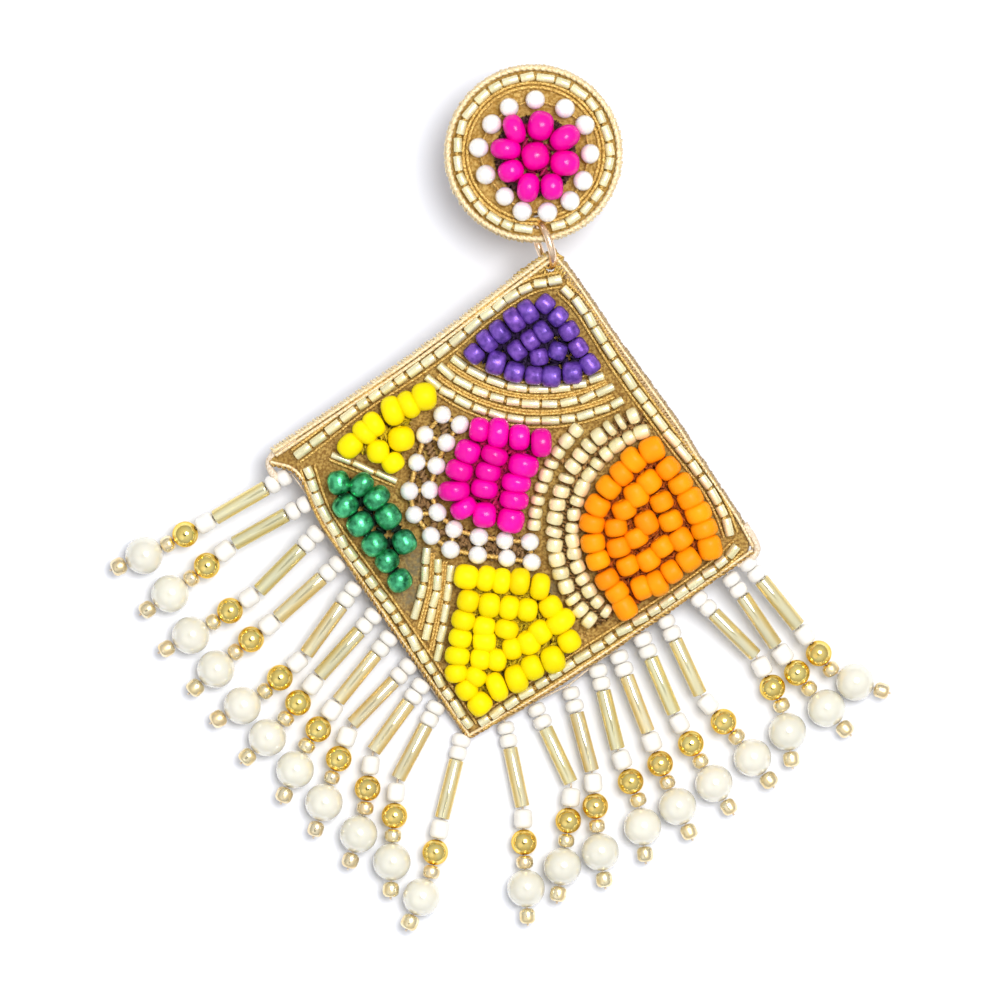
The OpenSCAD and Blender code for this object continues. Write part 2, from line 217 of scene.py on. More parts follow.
# Beads of each field, string by string, as [right, up]. A third number is the way that a bead's
# hole runs, where it doesn't follow its string
PURPLE_STRINGS = [
    [(0.3, 22.9), (2.0, 21.7), (3.5, 20.3), (4.9, 18.6), (6.5, 16.9)],
    [(-1.5, 21.7), (-2.9, 20.5), (-4.3, 18.9), (-5.6, 17.6), (-6.8, 15.9)],
    [(-4.2, 15.3), (-1.9, 14.6), (0.4, 14.6), (2.4, 14.8), (4.7, 15.6)],
    [(0.6, 19.7), (-0.7, 18.5), (-2.0, 17.1)],
    [(2.6, 17.8, 75), (0.6, 16.8, 100)],
]
PINK_STRINGS = [
    [(-4.8, 7.4, 0), (-2.6, 7.4, 5), (-0.1, 7.3, 0), (2.5, 7.1, 10)],
    [(-5.7, 4.7), (-6.3, 2.4), (-6.5, 0.0), (-5.1, -1.8)],
    [(-2.6, 4.8), (-3.0, 2.8), (-3.1, 0.8), (-2.6, -2.2, 5)],
    [(0.9, 4.2), (0.4, 2.1), (0.5, 0.1), (0.5, -2.3)],
]
ORANGE_STRINGS = [
    [(15.2, 8.4), (13.3, 6.9), (12.2, 5.1), (11.0, 3.3), (10.1, 1.0), (9.8, -1.1)]
    + [(10.3, -3.3), (11.2, -5.2), (12.6, -7.2), (14.0, -8.5), (15.2, -10.1)],
    [(17.4, 6.6), (19.1, 5.1), (20.5, 3.6), (21.7, 2.1), (22.7, 0.4), (23.7, -1.6)],
    [(21.5, -3.4), (19.8, -5.1), (18.4, -6.7), (16.7, -7.5)],
    [(15.5, 4.7), (17.3, 2.7), (18.7, 0.7), (20.2, -1.2)],
    [(14.3, 3.0), (16.0, 0.0), (18.3, -2.4)],
    [(13.2, 1.1), (15.1, -1.9), (16.9, -4.2)],
    [(12.6, -1.1), (13.3, -3.3), (14.7, -5.2)],
]
YELLOW_STRINGS = [
    [(-3.5, -9.6), (-1.2, -9.4), (0.6, -9.4), (2.7, -9.1), (5.1, -9.3)],
    [(-2.8, -12.3), (-3.0, -14.6), (-3.0, -16.7), (-3.0, -18.8), (-2.8, -20.8)]
    + [(-1.3, -22.5), (0.5, -23.9)],
    [(6.7, -11.4), (8.1, -12.9), (9.5, -15.0)],
    [(8.0, -17.4), (5.8, -18.7), (4.2, -20.3), (2.1, -21.6)],
    [(-0.3, -12.4), (2.0, -12.3), (4.1, -12.2)],
    [(-0.5, -15.0, 0), (2.1, -14.8, 85), (6.0, -14.5, 130)],
    [(-0.2, -16.6, 5), (3.1, -16.9, 20), (4.9, -15.9, 120)],
    [(-0.3, -18.7, 10), (1.6, -18.5, 5)],
    [(-0.5, -20.8, 60)],
]
SMALL_YELLOW_STRINGS = [
    [(-11.7, 10.1, 20), (-13.3, 8.9, 35), (-15.0, 7.9, 30)]
    + [(-16.9, 6.0), (-17.8, 4.9), (-19.2, 3.1)],
    [(-13.5, 4.9, 105), (-15.9, 3.0, 95), (-14.0, 2.0, 140)],
]
GREEN_STRINGS = [
    [(-19.8, -1.3), (-18.6, -3.8), (-16.6, -5.6), (-14.6, -7.6), (-12.8, -9.3), (-11.0, -11.3)],
    [(-17.2, -1.1, 60), (-15.2, -2.3), (-13.5, -4.2), (-11.2, -6.8)],
]
# Small pearls of the panel's two curved strings and of the ring on the stud
OUTER_PEARLS = [
    (-9.3, 8.4), (-10.9, 5.8), (-11.3, 2.5), (-11.6, -0.9), (-10.6, -3.5),
    (-8.3, -5.6), (-5.8, -6.8), (-2.6, -6.9), (0.8, -6.7), (3.7, -6.7),
]
INNER_PEARLS = [
    (-7.1, 7.6), (-8.3, 5.3), (-9.0, 2.5), (-9.3, -0.4), (-8.0, -2.8),
    (-5.8, -4.4), (-2.8, -4.8), (0.2, -4.7), (3.1, -4.4),
]
STUD_PEARLS = [
    (0.2, 6.1), (-2.8, 5.2), (-4.8, 3.3), (-6.3, 0.6), (-5.5, -2.5),
    (-3.3, -5.0), (-1.3, -6.7), (1.6, -6.8), (4.2, -5.5), (5.7, -3.2),
    (6.5, -0.1), (5.9, 3.2), (3.6, 5.1),
]
# The stud's large beads, each with the way that its hole runs
STUD_PINK = [
    (0.2, -0.4, 15), (-2.2, 2.7, 25), (0.8, 3.1, -10), (3.6, 1.7, -50), (3.6, -1.2, 85),
    (2.1, -3.9, 10), (-0.6, -4.0, -10), (-2.6, -2.1, -75), (-3.2, 0.4, 80),
]

# Slot and solid of each field of beads
FIELD_SOLIDS = {
    "purple_beads": ("purple_glass", "purple_field"),
    "pink_beads": ("pink_glass", "pink_field"),
    "orange_beads": ("orange_glass", "orange_field"),
    "yellow_beads": ("yellow_glass", "large_yellow_field"),
    "small_yellow_beads": ("yellow_glass", "small_yellow_field"),
    "green_beads": ("green_glass", "green_field"),
    "stud_pink_beads": ("pink_glass", "stud_pink_cluster"),
}
# Yarn below the fields, pearls and seed beads, coloured as the shade that falls in the gaps between
# beads: painted shade
PURPLE_GAP_SHADE = (0.03, 0.004, 0.06)
PINK_GAP_SHADE = (0.80, 0.0, 0.12)
ORANGE_GAP_SHADE = (0.72, 0.16, 0.0)
YELLOW_GAP_SHADE = (0.95, 0.70, 0.0)
GREEN_GAP_SHADE = (0.003, 0.03, 0.01)
STUD_PINK_GAP_SHADE = (0.62, 0.0, 0.09)
STUD_GROUND_SHADE = (0.17, 0.065, 0.05)
GOLD_SEED_GAP_SHADE = (0.66, 0.36, 0.10)
PEARL_GAP_SHADE = (0.44, 0.25, 0.085)

PANEL = (
    Matrix.Translation(PANEL_MIDDLE)
    @ Matrix.Rotation(math.radians(-PANEL_TURN), 4, "Z")
    @ Matrix.Rotation(math.radians(PANEL_SLOPE), 4, "X")
)


# Places


def on_panel(right, up, height):
    """A place on the panel, given as seen in plan and above its felt, in metres."""
    lean = math.radians(PANEL_SLOPE)
    across = up / math.cos(lean) + (height + FELT / 2) * math.tan(lean)
    return PANEL @ Vector((right, across, FELT + height)) * MM


def on_stud(right, up, height):
    """A place on the stud, above its felt, in metres."""
    return Vector((right, up, STUD_TOP + height)) * MM


on_panel.normal = (PANEL.to_3x3() @ Vector((0, 0, 1))).normalized()
on_stud.normal = Vector((0, 0, 1))


def arc(centre, radius, start, end, steps):
    """Points of an arc, in mm."""
    return [
        (
            centre[0] + radius * math.cos(math.radians(start + (end - start) * k / steps)),
            centre[1] + radius * math.sin(math.radians(start + (end - start) * k / steps)),
        )
        for k in range(steps + 1)
    ]


def smooth(route, times=3):
    """A route with its corners cut, its ends kept."""
    points = [Vector(p) for p in route]
    for _ in range(times):
        cut = [points[0]]
        for a, b in zip(points, points[1:]):
            cut += [a.lerp(b, 0.25), a.lerp(b, 0.75)]
        points = cut + [points[-1]]
    return points


def beside(route, left):
    """The same route moved to its left, in mm."""
    points = [Vector(p) for p in route]
    moved = []
    for i, p in enumerate(points):
        way = points[min(i + 1, len(points) - 1)] - points[max(i - 1, 0)]
        moved.append(p + Vector((-way.y, way.x)).normalized() * left)
    return moved


def walk(route, length):
    """The point that far along a route, in mm."""
    for a, b in zip(route, route[1:]):
        step = (b - a).length
        if length <= step and step > 0:
            return a.lerp(b, length / step)
        length -= step
    return route[-1].copy()


def route_length(route):
    """How long a route is, in the unit of its points."""
    return sum((b - a).length for a, b in zip(route, route[1:]))


def lay_beads(route, shortest, longest, space, draw):
    """Lays beads end to end along a route and returns each one's two ends, in mm."""
    whole = route_length(route)
    lengths = []
    while sum(lengths) + space * len(lengths) < whole:
        lengths.append(draw.uniform(shortest, longest))
    share = (whole - space * (len(lengths) - 1)) / sum(lengths)
    ends, at = [], 0
    for length in lengths:
        ends.append((walk(route, at), walk(route, at + length * share)))
        at += length * share + space
    return ends


# Modelling


def start_clean():
    """Leaves edit mode and deselects all."""
    if bpy.context.object and bpy.context.object.mode != "OBJECT":
        bpy.ops.object.mode_set(mode="OBJECT")
    bpy.ops.object.select_all(action="DESELECT")


def take(piece):
    """Selects one piece alone and makes it the active one."""
    start_clean()
    piece.select_set(True)
    bpy.context.view_layer.objects.active = piece


def new_object(name, data):
    """A new object in the scene."""
    piece = bpy.data.objects.new(name, data)
    bpy.context.scene.collection.objects.link(piece)
    return piece


def as_mesh(piece):
    """A curve made a mesh."""
    take(piece)
    bpy.ops.object.convert(target="MESH")
    return bpy.context.object


def solid_copy(source, name, merge=0.002):
    """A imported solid's copy as a piece of its own, its loose triangles merged. Merge in mm."""
    start_clean()
    piece = frame["nodes"][source].copy()
    piece.data = piece.data.copy()
    piece.parent = None
    piece.name = name
    for key in list(piece.keys()):
        del piece[key]
    bpy.context.scene.collection.objects.link(piece)
    edit(piece, "VERT")
    bpy.ops.mesh.select_all(action="SELECT")
    bpy.ops.mesh.remove_doubles(threshold=merge * MM)
    return piece


def modified(piece, name, kind, **values):
    """Gives the active piece a modifier with these values and applies it."""
    modifier = piece.modifiers.new(name, kind)
    for key, value in values.items():
        setattr(modifier, key, value)
    bpy.ops.object.modifier_apply(modifier=name)


def axes(x, z):
    """The turn that gives a piece these directions as its X and Z."""
    return Matrix((x, z.cross(x), z)).transposed()


def edit(piece, kind="FACE"):
    """Opens a piece in edit mode with nothing selected."""
    bpy.context.view_layer.objects.active = piece
    bpy.ops.object.mode_set(mode="EDIT")
    bpy.ops.mesh.select_mode(type=kind)
    bpy.ops.mesh.select_all(action="DESELECT")


def pick(piece, kind, test):
    """Selects the faces, edges or vertices that pass a test."""
    shape = bmesh.from_edit_mesh(piece.data)
    for part in getattr(shape, kind):
        part.select_set(bool(test(part)))
    shape.select_flush_mode()
    bmesh.update_edit_mesh(piece.data)


def finish_smooth(piece, angle=40):
    """Leaves edit mode and smooths all but the sharp edges."""
    take(piece)
    bpy.ops.object.shade_smooth_by_angle(angle=math.radians(angle))
    return piece


def cut_bead(width, length, hole, rounding, sides=14, steps=2, sharp=40):
    """A bead cut from glass cane, drilled along Z and tumbled round at its ends. Sizes in mm."""
    start_clean()
    bpy.ops.mesh.primitive_cylinder_add(vertices=sides, radius=width / 2 * MM, depth=length * MM)
    bead = bpy.context.object
    edit(bead)
    pick(bead, "faces", lambda f: abs(f.normal.z) > 0.9)
    bpy.ops.mesh.inset(thickness=(width - hole) / 2 * MM)
    bpy.ops.mesh.bridge_edge_loops()
    bpy.ops.mesh.select_mode(type="EDGE")
    rim = width / 2 * MM * 0.99
    pick(
        bead,
        "edges",
        lambda e: all(v.co.xy.length > rim for v in e.verts)
        and abs(e.verts[0].co.z - e.verts[1].co.z) < 0.01 * MM,
    )
    bpy.ops.mesh.bevel(offset=rounding * MM, segments=steps, affect="EDGES")
    return finish_smooth(bead, sharp)


def mark_painted_sides(bead):
    """Marks the sides of a tube that lies along Z with its top and its bottom along Y, where its
    colour is painted deeper as light through more glass looks from above.
    """
    lie = [abs(v.co.x) / v.co.xy.length for v in bead.data.vertices]
    mark = bead.data.attributes.new("side", "FLOAT", "POINT")
    mark.data.foreach_set("value", [min(max((part - 0.3) / 0.4, 0.0), 1.0) for part in lie])
    return bead


def ball_bead(width, around=24, across=18):
    """A ball, drilled along Z. Size in mm."""
    start_clean()
    bpy.ops.mesh.primitive_uv_sphere_add(
        segments=around, ring_count=across, radius=width / 2 * MM
    )
    bead = bpy.context.object
    edit(bead, "VERT")
    pole = width / 2 * MM * 0.999
    pick(bead, "verts", lambda v: abs(v.co.z) > pole)
    bpy.ops.mesh.delete(type="VERT")
    bpy.ops.mesh.select_mode(type="EDGE")
    pick(bead, "edges", lambda e: e.is_boundary)
    bpy.ops.mesh.bridge_edge_loops()
    return finish_smooth(bead, 80)


def seat(at, along, up, wide=1, long=1, roll=0):
    """Matrix that sets a bead at a place with its hole along a direction."""
    z = along.normalized()
    x = up.cross(z).normalized()
    turned = axes(x, z) @ Matrix.Rotation(roll, 3, "Z")
    matrix = (turned @ Matrix.Diagonal((wide, wide, long))).to_4x4()
    matrix.translation = at
    return matrix


def copies(pattern, seats, name, draw):
    """Copies a pattern to each seat, each with a tone of its own, and joins them as one piece."""
    placed = []
    for matrix in seats:
        bead = pattern.copy()
        bead.data = pattern.data.copy()
        bead.data.transform(matrix)
        tone = bead.data.attributes.new("tone", "FLOAT", "POINT")
        tone.data.foreach_set("value", [draw.random()] * len(bead.data.vertices))
        bpy.context.scene.collection.objects.link(bead)
        placed.append(bead)
    start_clean()
    for bead in placed:
        bead.select_set(True)
    bpy.context.view_layer.objects.active = placed[0]
    if len(placed) > 1:
        bpy.ops.object.join()
    piece = bpy.context.object
    piece.name = name
    piece.data.name = name
    bpy.data.objects.remove(pattern)
    return piece


def joined(name, pieces):
    """Joins pieces as one."""
    start_clean()
    for piece in pieces:
        piece.select_set(True)
    bpy.context.view_layer.objects.active = pieces[0]
    bpy.ops.object.join()
    pieces[0].name = name
    pieces[0].data.name = name
    return pieces[0]


def lobes(width, depth, count=2, points=10):
    """Closed section of a thread of two or more plies, as a curve."""
    curve = bpy.data.curves.new("section", "CURVE")
    curve.dimensions = "2D"
    line = curve.splines.new("POLY")
    line.points.add(points - 1)
    for k, point in enumerate(line.points):
        a = 2 * math.pi * k / points
        r = width / 2 * MM * (1 - depth + depth * abs(math.cos(a * count / 2)))
        point.co = (r * math.cos(a), r * math.sin(a), 0, 1)
    line.use_cyclic_u = True
    return new_object("section", curve)


def twisted_thread(name, routes, width, pitch, closed=False, depth=0.25, points=10, step=0.17):
    """Twisted thread along routes of places in metres, its plies turning once each pitch (mm)."""
    start_clean()
    section = lobes(width, depth, points=points)
    curve = bpy.data.curves.new(name, "CURVE")
    curve.dimensions = "3D"
    curve.bevel_mode = "OBJECT"
    curve.bevel_object = section
    curve.use_fill_caps = True
    curve.resolution_u = 1
    for route in routes:
        full = list(route) + ([route[0]] if closed else [])
        whole = route_length(full)
        count = max(3, round(whole / (step * MM)))
        line = curve.splines.new("POLY")
        line.points.add(count - 1)
        for k, point in enumerate(line.points):
            along = whole * k / (count if closed else count - 1)
            point.co = (*walk(full, along), 1)
            point.tilt = 2 * math.pi * along / (pitch * MM)
        line.use_cyclic_u = closed
    piece = as_mesh(new_object(name, curve))
    bpy.data.objects.remove(section)
    return finish_smooth(piece, 70)


def dress(piece, material, slot, *nodes):
    """Gives a piece its material, and sets it on the body in place of its solids. Its slot is not
    used.
    """
    piece.data.materials.clear()
    piece.data.materials.append(material)
    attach(piece, BODY)
    if nodes:
        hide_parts(*nodes)
    return piece


# Materials


def socket_group(name, inputs, outputs):
    """An empty node group with named sockets, its input and its output node."""
    group = bpy.data.node_groups.new(name, "ShaderNodeTree")
    for label, kind, value in inputs:
        socket = group.interface.new_socket(name=label, in_out="INPUT", socket_type=kind)
        socket.default_value = value
    for label, kind in outputs:
        group.interface.new_socket(name=label, in_out="OUTPUT", socket_type=kind)
    return group, group.nodes.new("NodeGroupInput"), group.nodes.new("NodeGroupOutput")


def node(tree, kind, links=None, **settings):
    """A node with its settings, and its inputs linked or set by name."""
    new = tree.nodes.new(kind)
    for key, value in settings.items():
        setattr(new, key, value)
    for key, value in (links or {}).items():
        if isinstance(value, bpy.types.NodeSocket):
            tree.links.new(value, new.inputs[key])
        else:
            new.inputs[key].default_value = value
    return new


def maths(tree, operation, *values, **settings):
    """The value that a Math node works out."""
    inputs = dict(enumerate(values))
    return node(tree, "ShaderNodeMath", inputs, operation=operation, **settings).outputs[0]


def attribute(tree, name):
    """A value from 0 to 1 that a piece's mesh holds."""
    return node(tree, "ShaderNodeAttribute", attribute_name=name).outputs["Fac"]


def bead_tone_group():
    """Each bead a little lighter or darker than the next, as glass from one batch is."""
    group, given, result = socket_group(
        "bead_tone",
        [
            ("Colour", "NodeSocketColor", (1, 1, 1, 1)),
            ("Light spread", "NodeSocketFloat", 0.1),
            ("Hue spread", "NodeSocketFloat", 0.01),
        ],
        [("Colour", "NodeSocketColor")],
    )
    tone = attribute(group, "tone")
    light = maths(group, "MULTIPLY", tone, given.outputs["Light spread"])
    value = maths(group, "SUBTRACT", 1.0, light)
    # Seven times the tone, less its whole part, varies a bead's hue apart from its lightness
    again = maths(group, "MODULO", maths(group, "MULTIPLY", tone, 7.0), 1.0)
    centred = maths(group, "SUBTRACT", again, 0.5)
    hue = maths(group, "MULTIPLY_ADD", centred, given.outputs["Hue spread"], 0.5)
    values = {"Hue": hue, "Value": value, "Color": given.outputs["Colour"]}
    changed = node(group, "ShaderNodeHueSaturation", values)
    group.links.new(changed.outputs["Color"], result.inputs["Colour"])
    return group


def grain_group():
    """Fine grain: a mask from 0 to 1 that varies over the surface."""
    group, given, result = socket_group(
        "grain",
        [("Size mm", "NodeSocketFloat", 0.3), ("Contrast", "NodeSocketFloat", 1.0)],
        [("Mask", "NodeSocketFloat")],
    )
    place = node(group, "ShaderNodeTexCoord").outputs["Object"]
    scale = maths(group, "DIVIDE", 1000.0, given.outputs["Size mm"])
    values = {"Vector": place, "Scale": scale, "Detail": 3.0}
    noise = node(group, "ShaderNodeTexNoise", values)
    centred = maths(group, "SUBTRACT", noise.outputs["Fac"], 0.5)
    contrast = given.outputs["Contrast"]
    spread = maths(group, "MULTIPLY_ADD", centred, contrast, 0.5, use_clamp=True)
    group.links.new(spread, result.inputs["Mask"])
    return group


def shared(name, make):
    """The node group of that name, made the first time."""
    return bpy.data.node_groups.get(name) or make()


def new_material(name):
    """A new material, its nodes and its shader."""
    material = bpy.data.materials.new(name)
    material.use_nodes = True
    tree = material.node_tree
    return material, tree, tree.nodes["Principled BSDF"]


def toned(tree, colour, light_spread, hue_spread=0.0):
    """Colour that varies from bead to bead."""
    tone = node(
        tree,
        "ShaderNodeGroup",
        {"Colour": colour, "Light spread": light_spread, "Hue spread": hue_spread},
        node_tree=shared("bead_tone", bead_tone_group),
    )
    return tone.outputs["Colour"]


def grain(tree, size, contrast):
    """A mask of fine grain, its size in mm."""
    values = {"Size mm": size, "Contrast": contrast}
    group = node(tree, "ShaderNodeGroup", values, node_tree=shared("grain", grain_group))
    return group.outputs["Mask"]


def between(tree, mask, low, high):
    """A value from low to high by a mask."""
    values = {"Value": mask, "To Min": low, "To Max": high}
    return node(tree, "ShaderNodeMapRange", values).outputs["Result"]


def mixed(tree, mask, first, second):
    """A colour from first to second by a mask."""
    mix = node(tree, "ShaderNodeMix", data_type="RGBA")
    tree.links.new(mask, mix.inputs["Factor"])
    for key, value in ((6, first), (7, second)):
        if isinstance(value, bpy.types.NodeSocket):
            tree.links.new(value, mix.inputs[key])
        else:
            mix.inputs[key].default_value = (*value, 1)
    return mix.outputs[2]


def coloured(tree, bsdf, colour):
    """Sets the colour of a surface."""
    tree.links.new(colour, bsdf.inputs["Base Color"])


def roughened(tree, bsdf, mask, low, high):
    """Sets how rough a surface is, from low to high by a mask."""
    tree.links.new(between(tree, mask, low, high), bsdf.inputs["Roughness"])


def bump(tree, bsdf, height, depth):
    """Relief on a surface, its depth in mm."""
    relief = node(tree, "ShaderNodeBump", {"Height": height, "Distance": depth * MM})
    tree.links.new(relief.outputs["Normal"], bsdf.inputs["Normal"])


def set_all(bsdf, values):
    """Sets what is the same all over a surface, on the shader's own sockets."""
    for key, value in values.items():
        bsdf.inputs[key].default_value = value


def glass_material(
    name, colour, dark, roughness, gloss=0.2, metal=0.0, light_spread=0.14, cloud=(1.7, 1.3)
):
    """Opaque coloured glass, a little cloudy, under a fire-polished skin."""
    material, tree, bsdf = new_material(name)
    clouded = mixed(tree, grain(tree, *cloud), colour, dark)
    coloured(tree, bsdf, toned(tree, clouded, light_spread, 0.012))
    roughened(tree, bsdf, grain(tree, 0.3, 1.6), roughness * 0.75, roughness * 1.3)
    set_all(bsdf, {"Specular IOR Level": gloss, "Metallic": metal})
    bump(tree, bsdf, grain(tree, 0.45, 1.2), 0.025)
    return material


def lined_material(name, pale, warm, olive, metal=0.5, roughness=0.24, light_spread=0.16):
    """Clear gold glass with a silver lining: bright, each bead with a cast of its own."""
    material, tree, bsdf = new_material(name)
    ramp = node(tree, "ShaderNodeValToRGB", {"Fac": attribute(tree, "tone")})
    ramp.color_ramp.elements[0].color = (*warm, 1)
    ramp.color_ramp.elements[1].color = (*olive, 1)
    middle = ramp.color_ramp.elements.new(0.5)
    middle.color = (*pale, 1)
    flecks = grain(tree, 0.6, 1.3)
    shade = mixed(tree, flecks, ramp.outputs["Color"], [c * 0.9 for c in olive])
    coloured(tree, bsdf, toned(tree, shade, light_spread, 0.01))
    roughened(tree, bsdf, grain(tree, 0.4, 2.0), roughness * 0.7, roughness * 1.5)
    set_all(bsdf, {"Metallic": metal, "Coat Weight": 1.0, "Coat Roughness": 0.05})
    bump(tree, bsdf, grain(tree, 0.7, 1.2), 0.015)
    return material


def clear_material(name, tint, deep):
    """Clear tinted glass with a lining that shows through it, painted deeper in colour at its sides
    and paler on top, as light through the glass looks from above.
    """
    material, tree, bsdf = new_material(name)
    # Painted shade: the tint deepens towards the tube's sides
    glass = mixed(tree, attribute(tree, "side"), tint, deep)
    uneven = mixed(tree, between(tree, grain(tree, 1.6, 1.5), 0.0, 0.35), glass, deep)
    coloured(tree, bsdf, toned(tree, uneven, 0.12, 0.02))
    roughened(tree, bsdf, grain(tree, 0.5, 1.0), 0.05, 0.12)
    set_all(bsdf, {"Transmission Weight": 0.4, "Metallic": 0.42, "IOR": 1.18})
    set_all(bsdf, {"Coat Weight": 1.0, "Coat Roughness": 0.05})
    return material


def pearl_material(name, body, blush, roughness=0.24, tint=(1, 1, 1)):
    """Pearl lacquer: milky, with a faint blush in patches, under a soft clear skin."""
    material, tree, bsdf = new_material(name)
    milk = mixed(tree, grain(tree, 2.6, 2.2), body, blush)
    coloured(tree, bsdf, toned(tree, milk, 0.07, 0.012))
    roughened(tree, bsdf, grain(tree, 0.7, 1.5), roughness * 0.8, roughness * 1.3)
    set_all(bsdf, {"Metallic": 0.12, "Subsurface Weight": 0.6})
    set_all(bsdf, {"Subsurface Radius": (1.0, 0.9, 0.7), "Subsurface Scale": 1.2 * MM})
    set_all(bsdf, {"Coat Weight": 1.0, "Coat IOR": 1.8, "Coat Roughness": 0.12})
    set_all(bsdf, {"Coat Tint": (*tint, 1)})
    bump(tree, bsdf, grain(tree, 1.4, 1.0), 0.015)
    return material


def metal_material(name, colour, worn, roughness=0.18, light_spread=0.12, rim=(1, 1, 1)):
    """Plated metal, duller and darker where it is worn, with a tint of its own at the rim."""
    material, tree, bsdf = new_material(name)
    rubbed = grain(tree, 0.9, 3.0)
    coloured(tree, bsdf, toned(tree, mixed(tree, rubbed, colour, worn), light_spread, 0.01))
    roughened(tree, bsdf, rubbed, roughness * 0.7, roughness * 1.6)
    set_all(bsdf, {"Metallic": 1.0, "Specular Tint": (*rim, 1)})
    bump(tree, bsdf, grain(tree, 0.2, 1.0), 0.004)
    return material


def thread_material(name, bright, deep, metallic, roughness):
    """Spun thread: strands of its lit and its shaded colour side by side at random, painted light
    and shade.
    """
    material, tree, bsdf = new_material(name)
    lit_and_shaded_strands = grain(tree, 0.22, 3.5)
    coloured(tree, bsdf, toned(tree, mixed(tree, lit_and_shaded_strands, bright, deep), 0.12, 0.01))
    roughened(tree, bsdf, lit_and_shaded_strands, roughness * 0.8, roughness * 1.3)
    set_all(bsdf, {"Metallic": metallic})
    bump(tree, bsdf, grain(tree, 0.09, 2.0), 0.03)
    return material


def felt_material(name, bright, deep, worn):
    """Felt: matted fibres of its lit and its shaded colour, darker towards the shaded colour in
    patches, painted light and shade, and bare and greyish where it is worn.
    """
    material, tree, bsdf = new_material(name)
    place = node(tree, "ShaderNodeTexCoord").outputs["Object"]
    values = {"Vector": place, "Scale": 4200.0, "Detail": 4.0, "Distortion": 2.5}
    fibres = node(tree, "ShaderNodeTexNoise", values)
    patches = grain(tree, 2.4, 2.0)
    lit_and_shaded_strands = mixed(tree, grain(tree, 0.3, 4.5), bright, deep)
    # Random patches drawn towards the shaded colour: painted shade
    darker = mixed(tree, between(tree, patches, 0.0, 0.7), lit_and_shaded_strands, deep)
    ragged = between(tree, grain(tree, 0.5, 4.0), 0.45, 1.0)
    thin = maths(tree, "MULTIPLY", attribute(tree, "bare"), ragged)
    coloured(tree, bsdf, mixed(tree, thin, darker, worn))
    roughened(tree, bsdf, patches, 0.8, 0.98)
    set_all(bsdf, {"Sheen Weight": 0.22, "Sheen Roughness": 0.5})
    bump(tree, bsdf, fibres.outputs["Fac"], 0.12)
    return material


def floor_material(name, colour):
    """Plain matt board."""
    material, tree, bsdf = new_material(name)
    speck = grain(tree, 6.0, 0.6)
    coloured(tree, bsdf, mixed(tree, speck, colour, [c * 0.985 for c in colour]))
    roughened(tree, bsdf, speck, 0.7, 0.85)
    return material


def made(name, make, *values, **named):
    """The material of that name, made the first time."""
    return bpy.data.materials.get(name) or make(name, *values, **named)


# Settings


def length_setting(label, help_text, millimetres):
    """A size that a user can change."""
    return bpy.props.FloatProperty(
        name=label,
        description=help_text,
        default=millimetres * MM,
        min=0.0,
        subtype="DISTANCE",
        unit="LENGTH",
        precision=5,
    )


def power_setting(label, help_text, watts):
    """A light's power."""
    return bpy.props.FloatProperty(
        name=label, description=help_text, default=watts, min=0.0, unit="POWER"
    )


def colour_setting(label, help_text, colour):
    """A colour that a user can change."""
    return bpy.props.FloatVectorProperty(
        name=label, description=help_text, default=colour, size=3, min=0.0, max=1.0, subtype="COLOR"
    )


class EARRING_PG_beads(bpy.types.PropertyGroup):
    """Bead sizes and colours of stud and panel."""

    tube_width: length_setting("Tube width", "Width of the tube beads", 1.1)
    purple_width: length_setting("Purple width", "Width of the purple beads", 2.55)
    pink_width: length_setting("Pink width", "Width of the pink beads", 3.35)
    orange_width: length_setting("Orange width", "Width of the orange beads", 3.2)
    yellow_width: length_setting("Yellow width", "Width of the yellow beads", 3.1)
    green_width: length_setting("Green width", "Width of the green beads", 2.95)
    pearl_width: length_setting("Pearl width", "Width of the small pearls", 2.16)
    gold_width: length_setting("Gold width", "Width of the pale gold seed beads", 1.76)
    purple: colour_setting("Purple", "Satin purple glass", (0.25, 0.10, 0.55))
    pink: colour_setting("Pink", "Glossy pink glass", (0.97, 0.0, 0.42))
    orange: colour_setting("Orange", "Opaque orange glass", (1.0, 0.35, 0.001))
    yellow: colour_setting("Yellow", "Opaque yellow glass", (1.0, 0.82, 0.001))
    green: colour_setting("Green", "Metallic green glass", (0.12, 0.75, 0.33))
    gold: colour_setting("Pale gold", "Silver-lined glass of the tubes", (1.0, 0.95, 0.66))
    seed_gold: colour_setting("Cream gold", "Silver-lined glass of the seeds", (1.0, 0.89, 0.52))


class EARRING_PG_fringe(bpy.types.PropertyGroup):
    """Bead sizes and colours of the fringe."""

    white_width: length_setting("White width", "Width of the white beads", 2.15)
    bugle_width: length_setting("Long tube width", "Width of the long tube beads", 1.8)
    ball_width: length_setting("Ball width", "Width of the metal balls", 3.0)
    seed_width: length_setting("Small metal width", "Width of the small metal beads", 1.95)
    pearl_width: length_setting("Large pearl width", "Width of the large pearls", 4.4)
    white: colour_setting("White", "Opaque white glass", (0.91, 0.89, 0.84))
    ball: colour_setting("Gold", "Plating of the balls", (1.0, 0.82, 0.30))
    rose: colour_setting("Rose gold", "Plating of the small beads", (1.0, 0.88, 0.58))
    pearl: colour_setting("Pearl", "Milky body of the pearls", (0.82, 0.80, 0.70))


